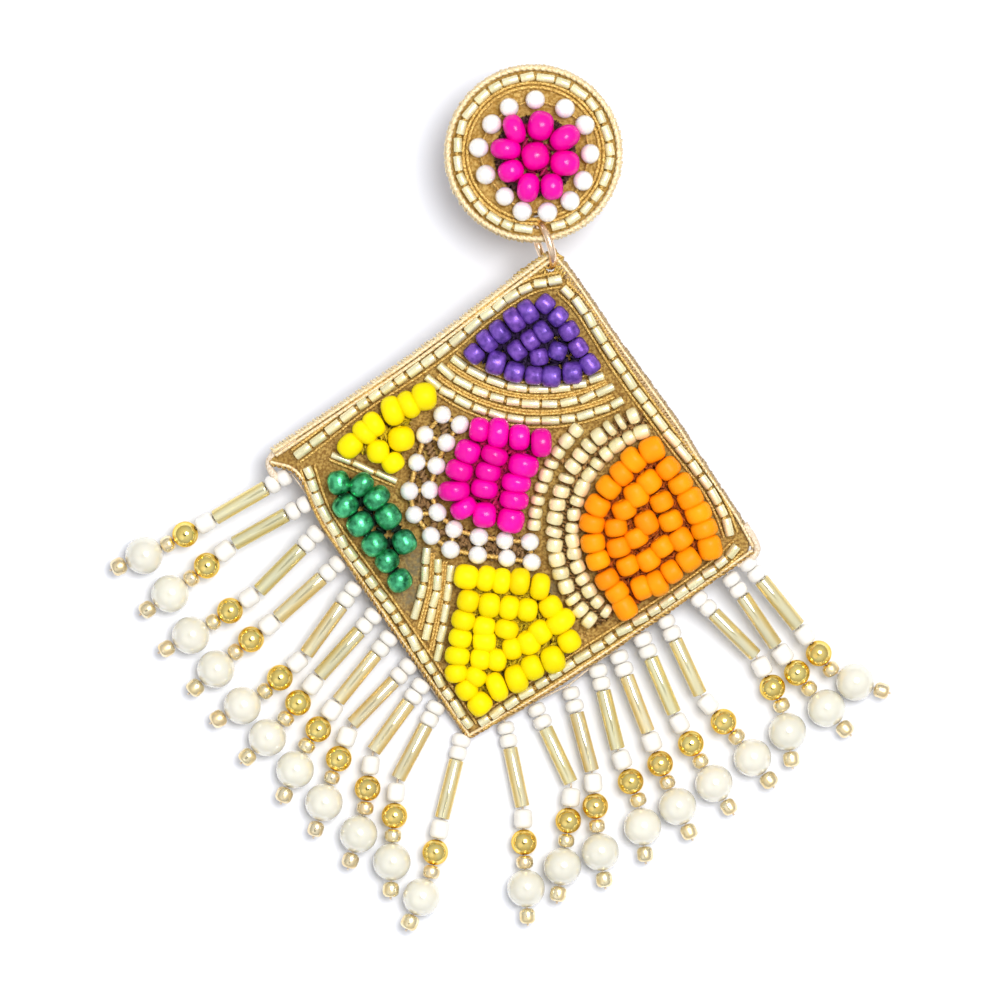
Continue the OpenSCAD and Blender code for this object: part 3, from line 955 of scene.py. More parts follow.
class EARRING_PG_cloth(bpy.types.PropertyGroup):
    """Felt and threads."""

    thread_width: length_setting("Thread width", "Width of the metallic thread", 0.36)
    felt: colour_setting("Felt", "Lit fibres of the felt", (0.76, 0.51, 0.15))
    felt_deep: colour_setting("Felt shade", "Shaded fibres of the felt", (0.38, 0.19, 0.02))
    # The panel's felt is the stud's felt painted darker, as painted shade between its tall beads
    dark_felt: colour_setting("Panel felt", "Lit fibres of the panel's felt", (0.68, 0.44, 0.11))
    dark_deep: colour_setting("Panel felt shade", "Shaded fibres of it", (0.24, 0.115, 0.012))
    worn: colour_setting("Worn felt", "Felt where it is bare", (0.20, 0.165, 0.09))
    thread: colour_setting("Gold thread", "Lit side of the couched thread", (0.86, 0.60, 0.17))
    thread_deep: colour_setting("Gold shade", "Shaded side of it", (0.40, 0.22, 0.028))
    pale_thread: colour_setting("Pale thread", "Lit side of the edge thread", (1.0, 0.88, 0.56))
    pale_deep: colour_setting("Pale shade", "Shaded side of it", (0.80, 0.56, 0.25))
    peach: colour_setting("Peach thread", "Lit side of the overcast thread", (0.66, 0.47, 0.24))
    peach_deep: colour_setting("Peach shade", "Shaded side of it", (0.30, 0.19, 0.07))
    brown: colour_setting("Brown thread", "Lit side of the lower whip stitches", (0.74, 0.47, 0.14))
    brown_deep: colour_setting("Brown shade", "Shaded side of them", (0.34, 0.17, 0.03))
    cream: colour_setting("Cream thread", "Thread that the fringe hangs on", (0.90, 0.80, 0.62))
    cream_deep: colour_setting("Cream shade", "Shaded side of it", (0.66, 0.50, 0.32))


class EARRING_PG_stage(bpy.types.PropertyGroup):
    """Floor, light and camera."""

    floor: colour_setting("Floor", "Plain pale floor", (0.85, 0.86, 0.90))
    key_power: power_setting("Key light", "Power of the main light", 3.1)
    fill_power: power_setting("Fill light", "Power of the fill light", 0.15)
    sky: bpy.props.FloatProperty(
        name="Room light", description="Brightness of the light from above", default=0.83, min=0.0
    )
    lens: bpy.props.FloatProperty(
        name="Lens", description="Focal length of the camera in mm", default=300.0, min=10.0
    )
    view_width: length_setting("View width", "Width of what the camera sees", 116.0)


def settings(context):
    """The four groups of settings."""
    scene = context.scene
    return scene.earring_beads, scene.earring_fringe, scene.earring_cloth, scene.earring_stage


def gold_yarn(context):
    """Gold thread, couched and between the pearls."""
    cloth = context.scene.earring_cloth
    return made("gold_yarn", thread_material, cloth.thread, cloth.thread_deep, 0.35, 0.38)


def pale_yarn(context):
    """Pale gold thread of the edges."""
    cloth = context.scene.earring_cloth
    return made("pale_gold_yarn", thread_material, cloth.pale_thread, cloth.pale_deep, 0.3, 0.34)


def cream_yarn(context):
    """Cream thread that the fringe hangs on."""
    cloth = context.scene.earring_cloth
    return made("cream_yarn", thread_material, cloth.cream, cloth.cream_deep, 0.0, 0.6)


def pale_gold(context):
    """Silver-lined glass of the tube beads."""
    gold = context.scene.earring_beads.gold
    return made(
        "lined_gold_glass", lined_material, gold, (1.0, 0.86, 0.48), (1.0, 0.91, 0.50), 0.45, 0.24
    )


def cream_gold(context):
    """Silver-lined glass of the seed beads beside the orange field."""
    gold = context.scene.earring_beads.seed_gold
    return made(
        "lined_cream_glass", lined_material, gold, (1.0, 0.82, 0.46), (0.99, 0.86, 0.46), 0.3, 0.3
    )


def meeting(here, angle, others, width, length, gap):
    """How much wider and longer a bead is so that it meets its neighbours, all in mm."""
    along = Vector((math.cos(angle), math.sin(angle)))
    across = Vector((-along.y, along.x))
    near = {True: [], False: []}
    for other in others:
        step = other - here
        if 0 < step.length < NEIGHBOUR_REACH * width:
            far, aside = abs(step.dot(along)) / length, abs(step.dot(across)) / width
            near[far > aside].append(max(far, aside))
    scales = []
    for found, size in ((near[False], width), (near[True], length)):
        closest = sorted(found)[:2] or [1.0]
        scale = sum(closest) / len(closest) - gap / size
        scales.append(min(max(scale, LEAST_FIT), MOST_FIT))
    return scales


def along_strings(strings, place, height, draw, size=None, gap=0.0):
    """Seats for charted strings of beads, each bead's hole along its string."""
    seats = []
    charted = [Vector(bead[:2]) for string in strings for bead in string]
    for string in strings:
        for i, bead in enumerate(string):
            before, after = string[max(i - 1, 0)], string[min(i + 1, len(string) - 1)]
            if len(bead) > 2:
                angle = math.radians(bead[2])
            else:
                angle = math.atan2(after[1] - before[1], after[0] - before[0])
            at = place(bead[0], bead[1], height)
            wide, long = 1.0, 1.0
            if size:
                wide, long = meeting(Vector(bead[:2]), angle, charted, *size, gap)
            angle += draw.gauss(0, BEAD_TURN)
            ahead = place(bead[0] + math.cos(angle), bead[1] + math.sin(angle), height)
            along = (ahead - at) + place.normal * draw.gauss(0, BEAD_TIP * MM)
            wide *= 1 + draw.uniform(-WIDTH_SPREAD, WIDTH_SPREAD)
            long *= 1 + draw.uniform(-LENGTH_SPREAD, LENGTH_SPREAD)
            seats.append(seat(at, along, place.normal, wide, long, draw.uniform(0, FULL_TURN)))
    return seats


def along_route(route, place, width, nominal, shortest, longest, draw, gap=0.13, sway=0.06):
    """Seats for beads laid end to end along a route."""
    seats = []
    high = width / 2 + TUBE_LIFT
    for a, b in lay_beads(route, shortest, longest, gap, draw):
        off = (draw.gauss(0, sway), draw.gauss(0, sway))
        start = place(a[0] + off[0], a[1] + off[1], high)
        end = place(b[0] - off[0], b[1] - off[1], high)
        wide, long = draw.uniform(*TUBE_WIDTHS), (end - start).length / (nominal * MM)
        middle, roll = (start + end) / 2, draw.uniform(0, FULL_TURN)
        seats.append(seat(middle, end - start, place.normal, wide, long, roll))
    return seats


# Pieces


def drawn(piece, at, inward, reach):
    """Moves a side of the felt, as the stitches along it do. Sizes in mm."""
    edit(piece, "VERT")
    middle = on_panel(*at, -FELT / 2)
    # All the felt's thickness at that place
    pick(piece, "verts", lambda v: (v.co - middle).length < 1.4 * MM)
    move = (on_panel(*inward, 0) - on_panel(0, 0, 0)).to_tuple()
    bpy.ops.transform.translate(
        value=move,
        use_proportional_edit=True,
        proportional_edit_falloff="SMOOTH",
        proportional_size=reach * MM,
    )
    start_clean()


def mark_bare(piece):
    """Marks how bare the panel's felt is, from 0 to 1, for its material to read."""
    flat = PANEL.inverted()
    values = []
    for v in piece.data.vertices:
        place = (flat @ (v.co / MM)).to_2d()
        worn = [1 - ((place - Vector((x, y))).length / r) ** 2 for x, y, r in BARE_SPOTS]
        values.append(max(0.0, *worn))
    bare = piece.data.attributes.new("bare", "FLOAT", "POINT")
    bare.data.foreach_set("value", values)


class EARRING_OT_felt(bpy.types.Operator):
    """Felt of stud and panel, its edges worn soft"""

    bl_idname = "earring.felt"
    bl_label = "Felt"

    def execute(self, context):
        cloth = context.scene.earring_cloth
        light = made("light_felt", felt_material, cloth.felt, cloth.felt_deep, cloth.worn)
        # The panel's felt is painted darker than the stud's, as painted shade between its beads
        dark = made("dark_felt", felt_material, cloth.dark_felt, cloth.dark_deep, cloth.worn)
        for name, source, felt in (
            ("stud_felt", "stud_base", light),
            ("panel_felt", "panel_base", dark),
        ):
            piece = solid_copy(source, name)
            take(piece)
            modified(piece, "fibres", "REMESH", mode="VOXEL", voxel_size=0.42 * MM)
            modified(piece, "soften", "SMOOTH", factor=0.6, iterations=3)
            bumps = bpy.data.textures.new("felt_bumps", "CLOUDS")
            bumps.noise_scale = 1.3 * MM
            uneven = {"texture": bumps, "texture_coords": "LOCAL"}
            modified(piece, "uneven", "DISPLACE", **uneven, strength=0.16 * MM, mid_level=0.55)
            if name == "panel_felt":
                drawn(piece, (-15.4, 14.0), (0.5, -0.5), 12)
                drawn(piece, (16.3, 12.6), (0.35, 0.35), 12)
                mark_bare(piece)
                piece.select_set(True)
            bpy.ops.object.shade_smooth()
            dress(piece, felt, "felt", source)
        return {"FINISHED"}


def hook_stitch(width, reach, drop, lean):
    """One whip stitch over an edge that runs along Y, in mm: up over the felt and down its side."""
    curve = bpy.data.curves.new("stitch", "CURVE")
    curve.dimensions = "3D"
    curve.bevel_depth = width / 2 * MM
    curve.bevel_resolution = 1
    curve.use_fill_caps = True
    line = curve.splines.new("NURBS")
    places = [
        (-reach, 0, -0.12),
        (-reach * 0.8, 0.08, 0.14),
        (-reach * 0.35, 0.3, 0.2),
        (0.04, 0.6, 0.1),
        (0.16, 0.8, -0.3),
        (0.16, 0.95, -drop * 0.7),
        (-0.1, 1.0, -drop - 0.1),
    ]
    line.points.add(len(places) - 1)
    for point, (x, y, z) in zip(line.points, places):
        point.co = (x * MM, (y - 0.5) * lean * MM, z * MM, 1)
    line.order_u = 3
    line.use_endpoint_u = True
    line.resolution_u = 2
    return finish_smooth(as_mesh(new_object("stitch", curve)), 80)


def stitches_along(outline, pitch, place, draw):
    """Seats for stitches along a line of points, facing its left side."""
    seats = []
    whole = route_length(outline)
    count = round(whole / pitch)
    for k in range(count):
        s = min(max(whole * (k + 0.5) / count + draw.gauss(0, 0.03), 0), whole - 0.06)
        p, q = walk(outline, s), walk(outline, s + 0.05)
        way = (q - p).normalized()
        out = Vector((-way.y, way.x))
        spot = p + out * draw.gauss(0, 0.03)
        at = place(spot.x, spot.y, 0)
        x = (place(spot.x + out.x, spot.y + out.y, 0) - at).normalized()
        matrix = axes(x, place.normal).to_4x4() @ Matrix.Rotation(draw.gauss(0, 0.1), 4, "Z")
        matrix.translation = at
        seats.append(matrix)
    return seats


def zigzag(route, inside, outside, pitch, place, draw):
    """A thread laid to and fro across a band beside a route, over its edge and back."""
    inner, outer = beside(route, inside), beside(route, outside)
    whole = route_length(inner)
    places = []
    for k in range(round(whole / pitch)):
        s = whole * (k + 0.5) / round(whole / pitch)
        a = walk(inner, s + draw.gauss(0, 0.05))
        b = walk(outer, s + pitch * 0.9)
        middle = a.lerp(b, 0.5)
        places += [
            place(a.x, a.y, 0.08),
            place(middle.x, middle.y, 0.26 + draw.uniform(-0.04, 0.04)),
            place(b.x, b.y, 0.16),
            place(*b.lerp(walk(outer, s + pitch), 0.5), -0.25),
            place(*a.lerp(b, 0.8), 0.2),
        ]
    return places


def whipped(name, line, stitch, pitch, place, draw):
    """Whip stitches along a line, from the width, reach, drop and lean of one of them, in mm."""
    return copies(hook_stitch(*stitch), stitches_along(line, pitch, place, draw), name, draw)


def stud_edge(context, draw):
    """Whip stitches and a cord round the stud."""
    width = context.scene.earring_cloth.thread_width / MM
    rim = [Vector(p) for p in arc((0, 0), STUD_RADIUS, 360, 0, 96)]
    stitches = whipped("whip", rim, (width, 0.3, FELT, 0.8), 0.5, on_stud, draw)
    ring = [[on_stud(*p, 0.36) for p in arc((0, 0), STUD_CORD_RADIUS, 0, 356, 89)]]
    cord = twisted_thread("cord", ring, 0.72, 1.5, closed=True, depth=0.32, points=12)
    dress(joined("stud_edge", [stitches, cord]), pale_yarn(context), "metallic_thread", "stud_rim")


def upper_edges(context, draw):
    """Cords and whip stitches on the panel's upper sides, with an overcast band on the right."""
    cloth = context.scene.earring_cloth
    stitch = (cloth.thread_width / MM, 0.25, FELT, 0.7)
    pieces = []
    # Line of each cord, how far inside it the cord lies, and its width
    cords = [(UPPER_LEFT, 0.2, 0.5), (UPPER_LEFT, 0.72, 0.5), (UPPER_RIGHT, 0.12, 0.4)]
    for line, inside, width in cords:
        route = [on_panel(*p, width / 2) for p in beside(smooth(line), -inside)]
        pieces.append(twisted_thread("cords", [route], width, 1.3, depth=0.18))
    band = smooth(UPPER_RIGHT[:BAND_END])
    overcast = [zigzag(band, -0.95, 0.05, 0.46, on_panel, draw)]
    band_pieces = [twisted_thread("overcast", overcast, 0.3, 0.7, step=0.2, points=8)]
    for line, found in ((UPPER_LEFT, pieces), (UPPER_RIGHT, band_pieces)):
        found.append(whipped("whip", smooth(line), stitch, 0.42, on_panel, draw))
    peach = made("peach_yarn", thread_material, cloth.peach, cloth.peach_deep, 0.1, 0.5)
    dress(joined("panel_edge", pieces), pale_yarn(context), "metallic_thread", "panel_rim")
    dress(joined("overcast_edge", band_pieces), peach, "metallic_thread")


def lower_edges(context, draw):
    """A thin cord and brown whip stitches on the panel's lower sides."""
    cloth = context.scene.earring_cloth
    lines = [smooth(line) for line in LOWER_SIDES]
    routes = [[on_panel(*p, COUCHING_HEIGHT) for p in beside(line, -0.25)] for line in lines]
    cord = twisted_thread("lower_cord", routes, 0.4, 1.0, depth=0.2)
    dress(cord, pale_yarn(context), "metallic_thread")
    stitch = (0.28, 0.3, FELT - 0.22, 0.8)
    stitches = [whipped("whip", line, stitch, 0.6, on_panel, draw) for line in lines]
    brown = made("brown_yarn", thread_material, cloth.brown, cloth.brown_deep, 0.2, 0.45)
    dress(joined("lower_whip", stitches), brown, "metallic_thread")


def corner_stitches(context, draw):
    """Stitches round the hole and the tip of the top corner, and loops at the side corners."""
    hole = [Vector(p) for p in arc(APEX_HOLE, APEX_HOLE_RADIUS + 0.06, 0, 360, 24)]
    tip = [Vector(p) for p in APEX_TIP]
    stitches = [
        whipped("eyelet", hole, (0.26, 0.75, FELT, 0.4), 0.36, on_panel, draw),
        whipped("tip", tip, (0.3, 1.3, FELT, 1.5), 0.5, on_panel, draw),
    ]
    dress(joined("apex_stitches", stitches), gold_yarn(context), "metallic_thread")
    routes = [[on_panel(*p) for p in smooth(loop)] for loop in CORNER_LOOPS]
    loops = twisted_thread("corner_loops", routes, 0.9, 3.0, depth=0.12)
    dress(loops, cream_yarn(context), "stringing_thread")


class EARRING_OT_edges(bpy.types.Operator):
    """Corded, overcast and whip-stitched edges of metallic thread on stud and panel"""

    bl_idname = "earring.edges"
    bl_label = "Stitched edges"

    def execute(self, context):
        draw = random.Random(11)
        for edge in (stud_edge, upper_edges, lower_edges, corner_stitches):
            edge(context, draw)
        return {"FINISHED"}


class EARRING_OT_couching(bpy.types.Operator):
    """Gold thread couched beside the strings of tube beads"""

    bl_idname = "earring.couching"
    bl_label = "Couched thread"

    def execute(self, context):
        yarn = gold_yarn(context)
        width = context.scene.earring_cloth.thread_width / MM
        rings = [
            [on_stud(*p, 0.2) for p in arc((0, 0), radius, 0, 356, 89)]
            for radius in STUD_COUCHING_RADII
        ]
        ring_piece = twisted_thread("stud_couching", rings, 0.52, 1.1, closed=True)
        dress(ring_piece, yarn, "metallic_thread")
        routes = [beside(smooth(side), left) for side in BORDER_SIDES for left in (-0.82, 0.82)]
        routes += [arc(PURPLE_CENTRE, radius, 240, 306, 30) for radius in PURPLE_COUCHING_RADII]
        for first, second in zip(GREEN_ROUTES, GREEN_ROUTES[1:]):
            middle = [((a[0] + b[0]) / 2, (a[1] + b[1]) / 2) for a, b in zip(first, second)]
            routes += [beside(smooth(middle), left) for left in (-0.17, 0.17)]
        routes.append(beside(DIVIDER_ROUTE, -0.65))
        lines = [[on_panel(*p, COUCHING_HEIGHT) for p in route] for route in routes]
        dress(twisted_thread("panel_couching", lines, width * 1.25, 0.9), yarn, "metallic_thread")
        return {"FINISHED"}


def tube_string(name, routes, place, seed, size, lengths, material, solid):
    """Tube beads laid along routes, in mm. Returns the routes of the thread inside them."""
    draw = random.Random(seed)
    seats = []
    for route in routes:
        points = [Vector(p) for p in route]
        seats += along_route(points, place, size, TUBE_LENGTH, *lengths, draw, TUBE_GAP)
    pattern = cut_bead(size, TUBE_LENGTH, size * 0.45, size * 0.14, sides=12)
    dress(copies(pattern, seats, name, draw), material, "tube_glass", solid)
    return [[place(*p, size / 2 + TUBE_LIFT) for p in route] for route in routes]


class EARRING_OT_tubes(bpy.types.Operator):
    """Strings of pale gold tube beads on stud and panel"""

    bl_idname = "earring.tubes"
    bl_label = "Tube beads"

    def execute(self, context):
        width = context.scene.earring_beads.tube_width / MM
        short, long = (1.35, 2.15), (1.7, 2.5)
        ring = [arc((0, 0), STUD_TUBES_RADIUS, -76, 269, 90)]
        border = [smooth(side) for side in BORDER_SIDES]
        # Each string's name, routes, place, seed, width, shortest and longest bead, and solid
        strings = [
            ("stud_tubes", ring, on_stud, 3, width * 0.93, short, "stud_tube_ring"),
            ("border_tubes", border, on_panel, 4, width, short, "panel_border_string"),
        ]
        narrow = width * 0.9
        for i, bend in enumerate(PURPLE_ARCS, 1):
            route, solid = [arc(PURPLE_CENTRE, *bend, 24)], f"purple_arc_{i}"
            strings.append((f"purple_tubes_{i}", route, on_panel, 4 + i, narrow, long, solid))
        for i, line in enumerate(GREEN_ROUTES, 1):
            route, solid = [smooth(line)], f"green_arc_{i}"
            strings.append((f"green_tubes_{i}", route, on_panel, 8 + i, narrow, long, solid))
        divider = [DIVIDER_ROUTE]
        strings.append(("divider_tubes", divider, on_panel, 13, 0.8, (2.3, 2.7), "divider_string"))
        threads = []
        for *string, solid in strings:
            threads += tube_string(*string, pale_gold(context), solid)
        core = twisted_thread("tube_threads", threads, 0.7, 1.1, step=0.3, points=8)
        dress(core, gold_yarn(context), "metallic_thread")
        return {"FINISHED"}


class EARRING_OT_gold_seeds(bpy.types.Operator):
    """Three strings of pale gold seed beads beside the orange field"""

    bl_idname = "earring.gold_seeds"
    bl_label = "Pale gold seed beads"

    def execute(self, context):
        usual = context.scene.earring_beads.gold_width / MM
        below = []
        for i, (radius, start, end) in enumerate(GOLD_ARCS):
            draw = random.Random(21 + i)
            # The beads of the middle string are larger
            width = usual * (1.16 if i == 1 else 1)
            route = [Vector(p) for p in arc(GOLD_CENTRE, radius, start, end, 30)]
            below += route
            laid = (GOLD_SEED_LENGTH, 1.25, 1.55, draw, GOLD_SEED_GAP, 0.09)
            seats = along_route(route, on_panel, width, *laid)
            pattern = cut_bead(width, GOLD_SEED_LENGTH, 0.6, 0.42, sides=12, sharp=34)
            piece = copies(pattern, seats, f"gold_seeds_{i + 1}", draw)
            dress(piece, cream_gold(context), "gold_seed_glass", f"gold_arc_{i + 1}")
        # Yarn below the seed beads, coloured as the painted shade of the gaps between them
        gap_shade_yarn("gold_seeds", below, 2.3, on_panel, GOLD_SEED_GAP_SHADE, 1.0)
        return {"FINISHED"}


def gap_shade_yarn(name, beads, reach, place, lit, thick=1.7):
    """Yarn that runs from bead to bead below a field and shows in the gaps, coloured as the painted
    shade of the gaps.
    """
    links = []
    for i, first in enumerate(beads):
        for second in beads[i + 1 :]:
            if (second - first).length < reach:
                links.append([place(*first, thick * 0.4), place(*second, thick * 0.4)])
    # The yarn's colour is the painted shade of the gaps, and its shaded side is half as bright
    shaded = [c * 0.5 for c in lit]
    yarn = made("yarn_" + name, thread_material, lit, shaded, 0.0, 0.7)
    under = twisted_thread("under_" + name, links, thick, 1.5, step=0.5, points=8)
    dress(under, yarn, "stringing_thread")


def bead_field(name, strings, size, finish, below, seed):
    """A field of seed beads, with the yarn below that shows in the gaps between them, coloured as
    painted shade.

    Size is the beads' width in metres, and their length, rounding and gap in mm.
    """
    place = on_stud if name.startswith("stud") else on_panel
    draw = random.Random(seed)
    width, length, rounding, gap = size[0] / MM, *size[1:]
    pattern = cut_bead(width, length, 0.8, rounding, sides=16, steps=4)
    seats = along_strings(strings, place, width / 2 + SEED_LIFT, draw, (width, length), gap)
    dress(copies(pattern, seats, name, draw), finish, *FIELD_SOLIDS[name])
    beads = [Vector(bead[:2]) for string in strings for bead in string]
    gap_shade_yarn(name, beads, width * 1.5, place, below)


class EARRING_OT_fields(bpy.types.Operator):
    """Fields of coloured seed beads on the panel, and the pink cluster on the stud"""

    bl_idname = "earring.fields"
    bl_label = "Coloured beads"

    def execute(self, context):
        b = context.scene.earring_beads
        purple = made(
            "satin_purple",
            glass_material,
            b.purple,
            dark=(0.09, 0.03, 0.27),
            roughness=0.34,
            gloss=0.5,
            metal=0.4,
            cloud=(0.7, 2.8),
        )
        pink = made(
            "glossy_pink", glass_material, b.pink, dark=(0.74, 0.0, 0.27), roughness=0.22, gloss=0.3
        )
        orange = made("opaque_orange", glass_material, b.orange, (0.96, 0.28, 0.001), 0.4, 0.15)
        yellow = made("opaque_yellow", glass_material, b.yellow, (0.97, 0.72, 0.001), 0.42, 0.1)
        green = made(
            "metallic_green",
            glass_material,
            b.green,
            dark=(0.002, 0.11, 0.03),
            roughness=0.3,
            gloss=0.6,
            metal=0.75,
            cloud=(0.9, 2.6),
        )
        # Width in metres, and length, rounding and gap in mm
        purple_size = (b.purple_width, 2.15, 0.62, 0.12)
        pink_size = (b.pink_width, 2.45, 0.95, 0.0)
        orange_size = (b.orange_width, 2.5, 0.82, 0.05)
        yellow_size = (b.yellow_width, 2.5, 1.0, -0.12)
        small_yellow_size = (b.yellow_width, 2.5, 1.05, -0.12)
        green_size = (b.green_width, 2.55, 1.0, 0.1)
        stud_size = (b.pink_width * 0.94, 2.7, 1.15, 0.0)
        # Name, strings, size, finish and the colour of the yarn below, painted shade of the gaps
        fields = (
            ("purple_beads", PURPLE_STRINGS, purple_size, purple, PURPLE_GAP_SHADE),
            ("pink_beads", PINK_STRINGS, pink_size, pink, PINK_GAP_SHADE),
            ("orange_beads", ORANGE_STRINGS, orange_size, orange, ORANGE_GAP_SHADE),
            ("yellow_beads", YELLOW_STRINGS, yellow_size, yellow, YELLOW_GAP_SHADE),
            ("small_yellow_beads", SMALL_YELLOW_STRINGS, small_yellow_size, yellow, YELLOW_GAP_SHADE),
            ("green_beads", GREEN_STRINGS, green_size, green, GREEN_GAP_SHADE),
            ("stud_pink_beads", [STUD_PINK], stud_size, pink, STUD_PINK_GAP_SHADE),
        )
        for seed, field in enumerate(fields, 31):
            bead_field(*field, seed)
        # Stitches on the stud, round and between its pink beads, dark as the painted shade of the
        # gaps there
        ground = [Vector(p) for p in arc((0.2, -0.3), 4.3, 0, 345, 24)]
        ground += [Vector(bead[:2]) for bead in STUD_PINK]
        gap_shade_yarn("stud_ground", ground, 2.5, on_stud, STUD_GROUND_SHADE, 1.1)
        return {"FINISHED"}


class EARRING_OT_pearls(bpy.types.Operator):
    """Small pearls round the pink beads, with the gold thread that holds them"""

    bl_idname = "earring.pearls"
    bl_label = "Small pearls"

    def execute(self, context):
        width = context.scene.earring_beads.pearl_width / MM
        pearl = made("small_pearl_lacquer", pearl_material, (0.95, 0.93, 0.88), (0.92, 0.84, 0.76))
        for name, string, place, solid, seed in (
            ("inner_pearls", INNER_PEARLS, on_panel, "inner_pearl_string", 41),
            ("outer_pearls", OUTER_PEARLS, on_panel, "outer_pearl_string", 42),
            ("stud_pearls", STUD_PEARLS, on_stud, "stud_pearl_ring", 43),
        ):
            draw = random.Random(seed)
            size = width * (1.06 if place is on_stud else 1)
            seats = along_strings([string], place, size / 2 + PEARL_LIFT, draw)
            piece = copies(ball_bead(size, 16, 12), seats, name, draw)
            dress(piece, pearl, "pearl_seed", solid)
        high = width * 0.4
        lines = [
            [on_panel(*p, high) for p in INNER_PEARLS],
            [on_panel(*p, high) for p in OUTER_PEARLS],
        ]
        for inner in INNER_PEARLS:
            near = min(OUTER_PEARLS, key=lambda p: math.dist(p, inner))
            lines.append([on_panel(*inner, high), on_panel(*near, high)])
        # Yarn between the pearls, coloured as the painted shade of the gaps between them
        between_pearls = [Vector(p) for p in INNER_PEARLS + OUTER_PEARLS]
        gap_shade_yarn("pearls", between_pearls, 4.1, on_panel, PEARL_GAP_SHADE, 1.2)
        panel_part = twisted_thread("pearl_thread", lines, 0.6, 1.1)
        ring = [[on_stud(*p, high) for p in STUD_PEARLS]]
        stud_part = twisted_thread("stud_pearl_thread", ring, 0.34, 0.7, closed=True)
        thread = joined("pearl_threads", [panel_part, stud_part])
        dress(thread, gold_yarn(context), "metallic_thread")
        return {"FINISHED"}


def strand_beads(name):
    """Centres of a strand's beads, from the panel outwards."""
    piece = solid_copy(name, "loose_beads", merge=0.001)
    before = set(bpy.data.objects)
    bpy.ops.mesh.separate(type="LOOSE")
    start_clean()
    parts = [piece] + [o for o in bpy.data.objects if o not in before]
    centres = []
    for part in parts:
        corners = [v.co for v in part.data.vertices]
        low = Vector(min(c[i] for c in corners) for i in range(3))
        high = Vector(max(c[i] for c in corners) for i in range(3))
        centres.append((low + high) / 2)
        bpy.data.objects.remove(part)
    middle = Vector(PANEL_MIDDLE[:2]) * MM
    centres.sort(key=lambda c: (c.xy - middle).length)
    if len(centres) != STRAND_BEADS:
        raise RuntimeError(f"{name} has {len(centres)} beads and not {STRAND_BEADS}")
    return centres


def fringe_bead(name, width):
    """One bead of a kind that the fringe has, by the name of its piece. Width in mm."""
    if name in FRINGE_BALLS:
        return ball_bead(width, *FRINGE_BALLS[name])
    bead = cut_bead(width, *FRINGE_CUTS[name])
    return mark_painted_sides(bead) if name == "fringe_long_tubes" else bead


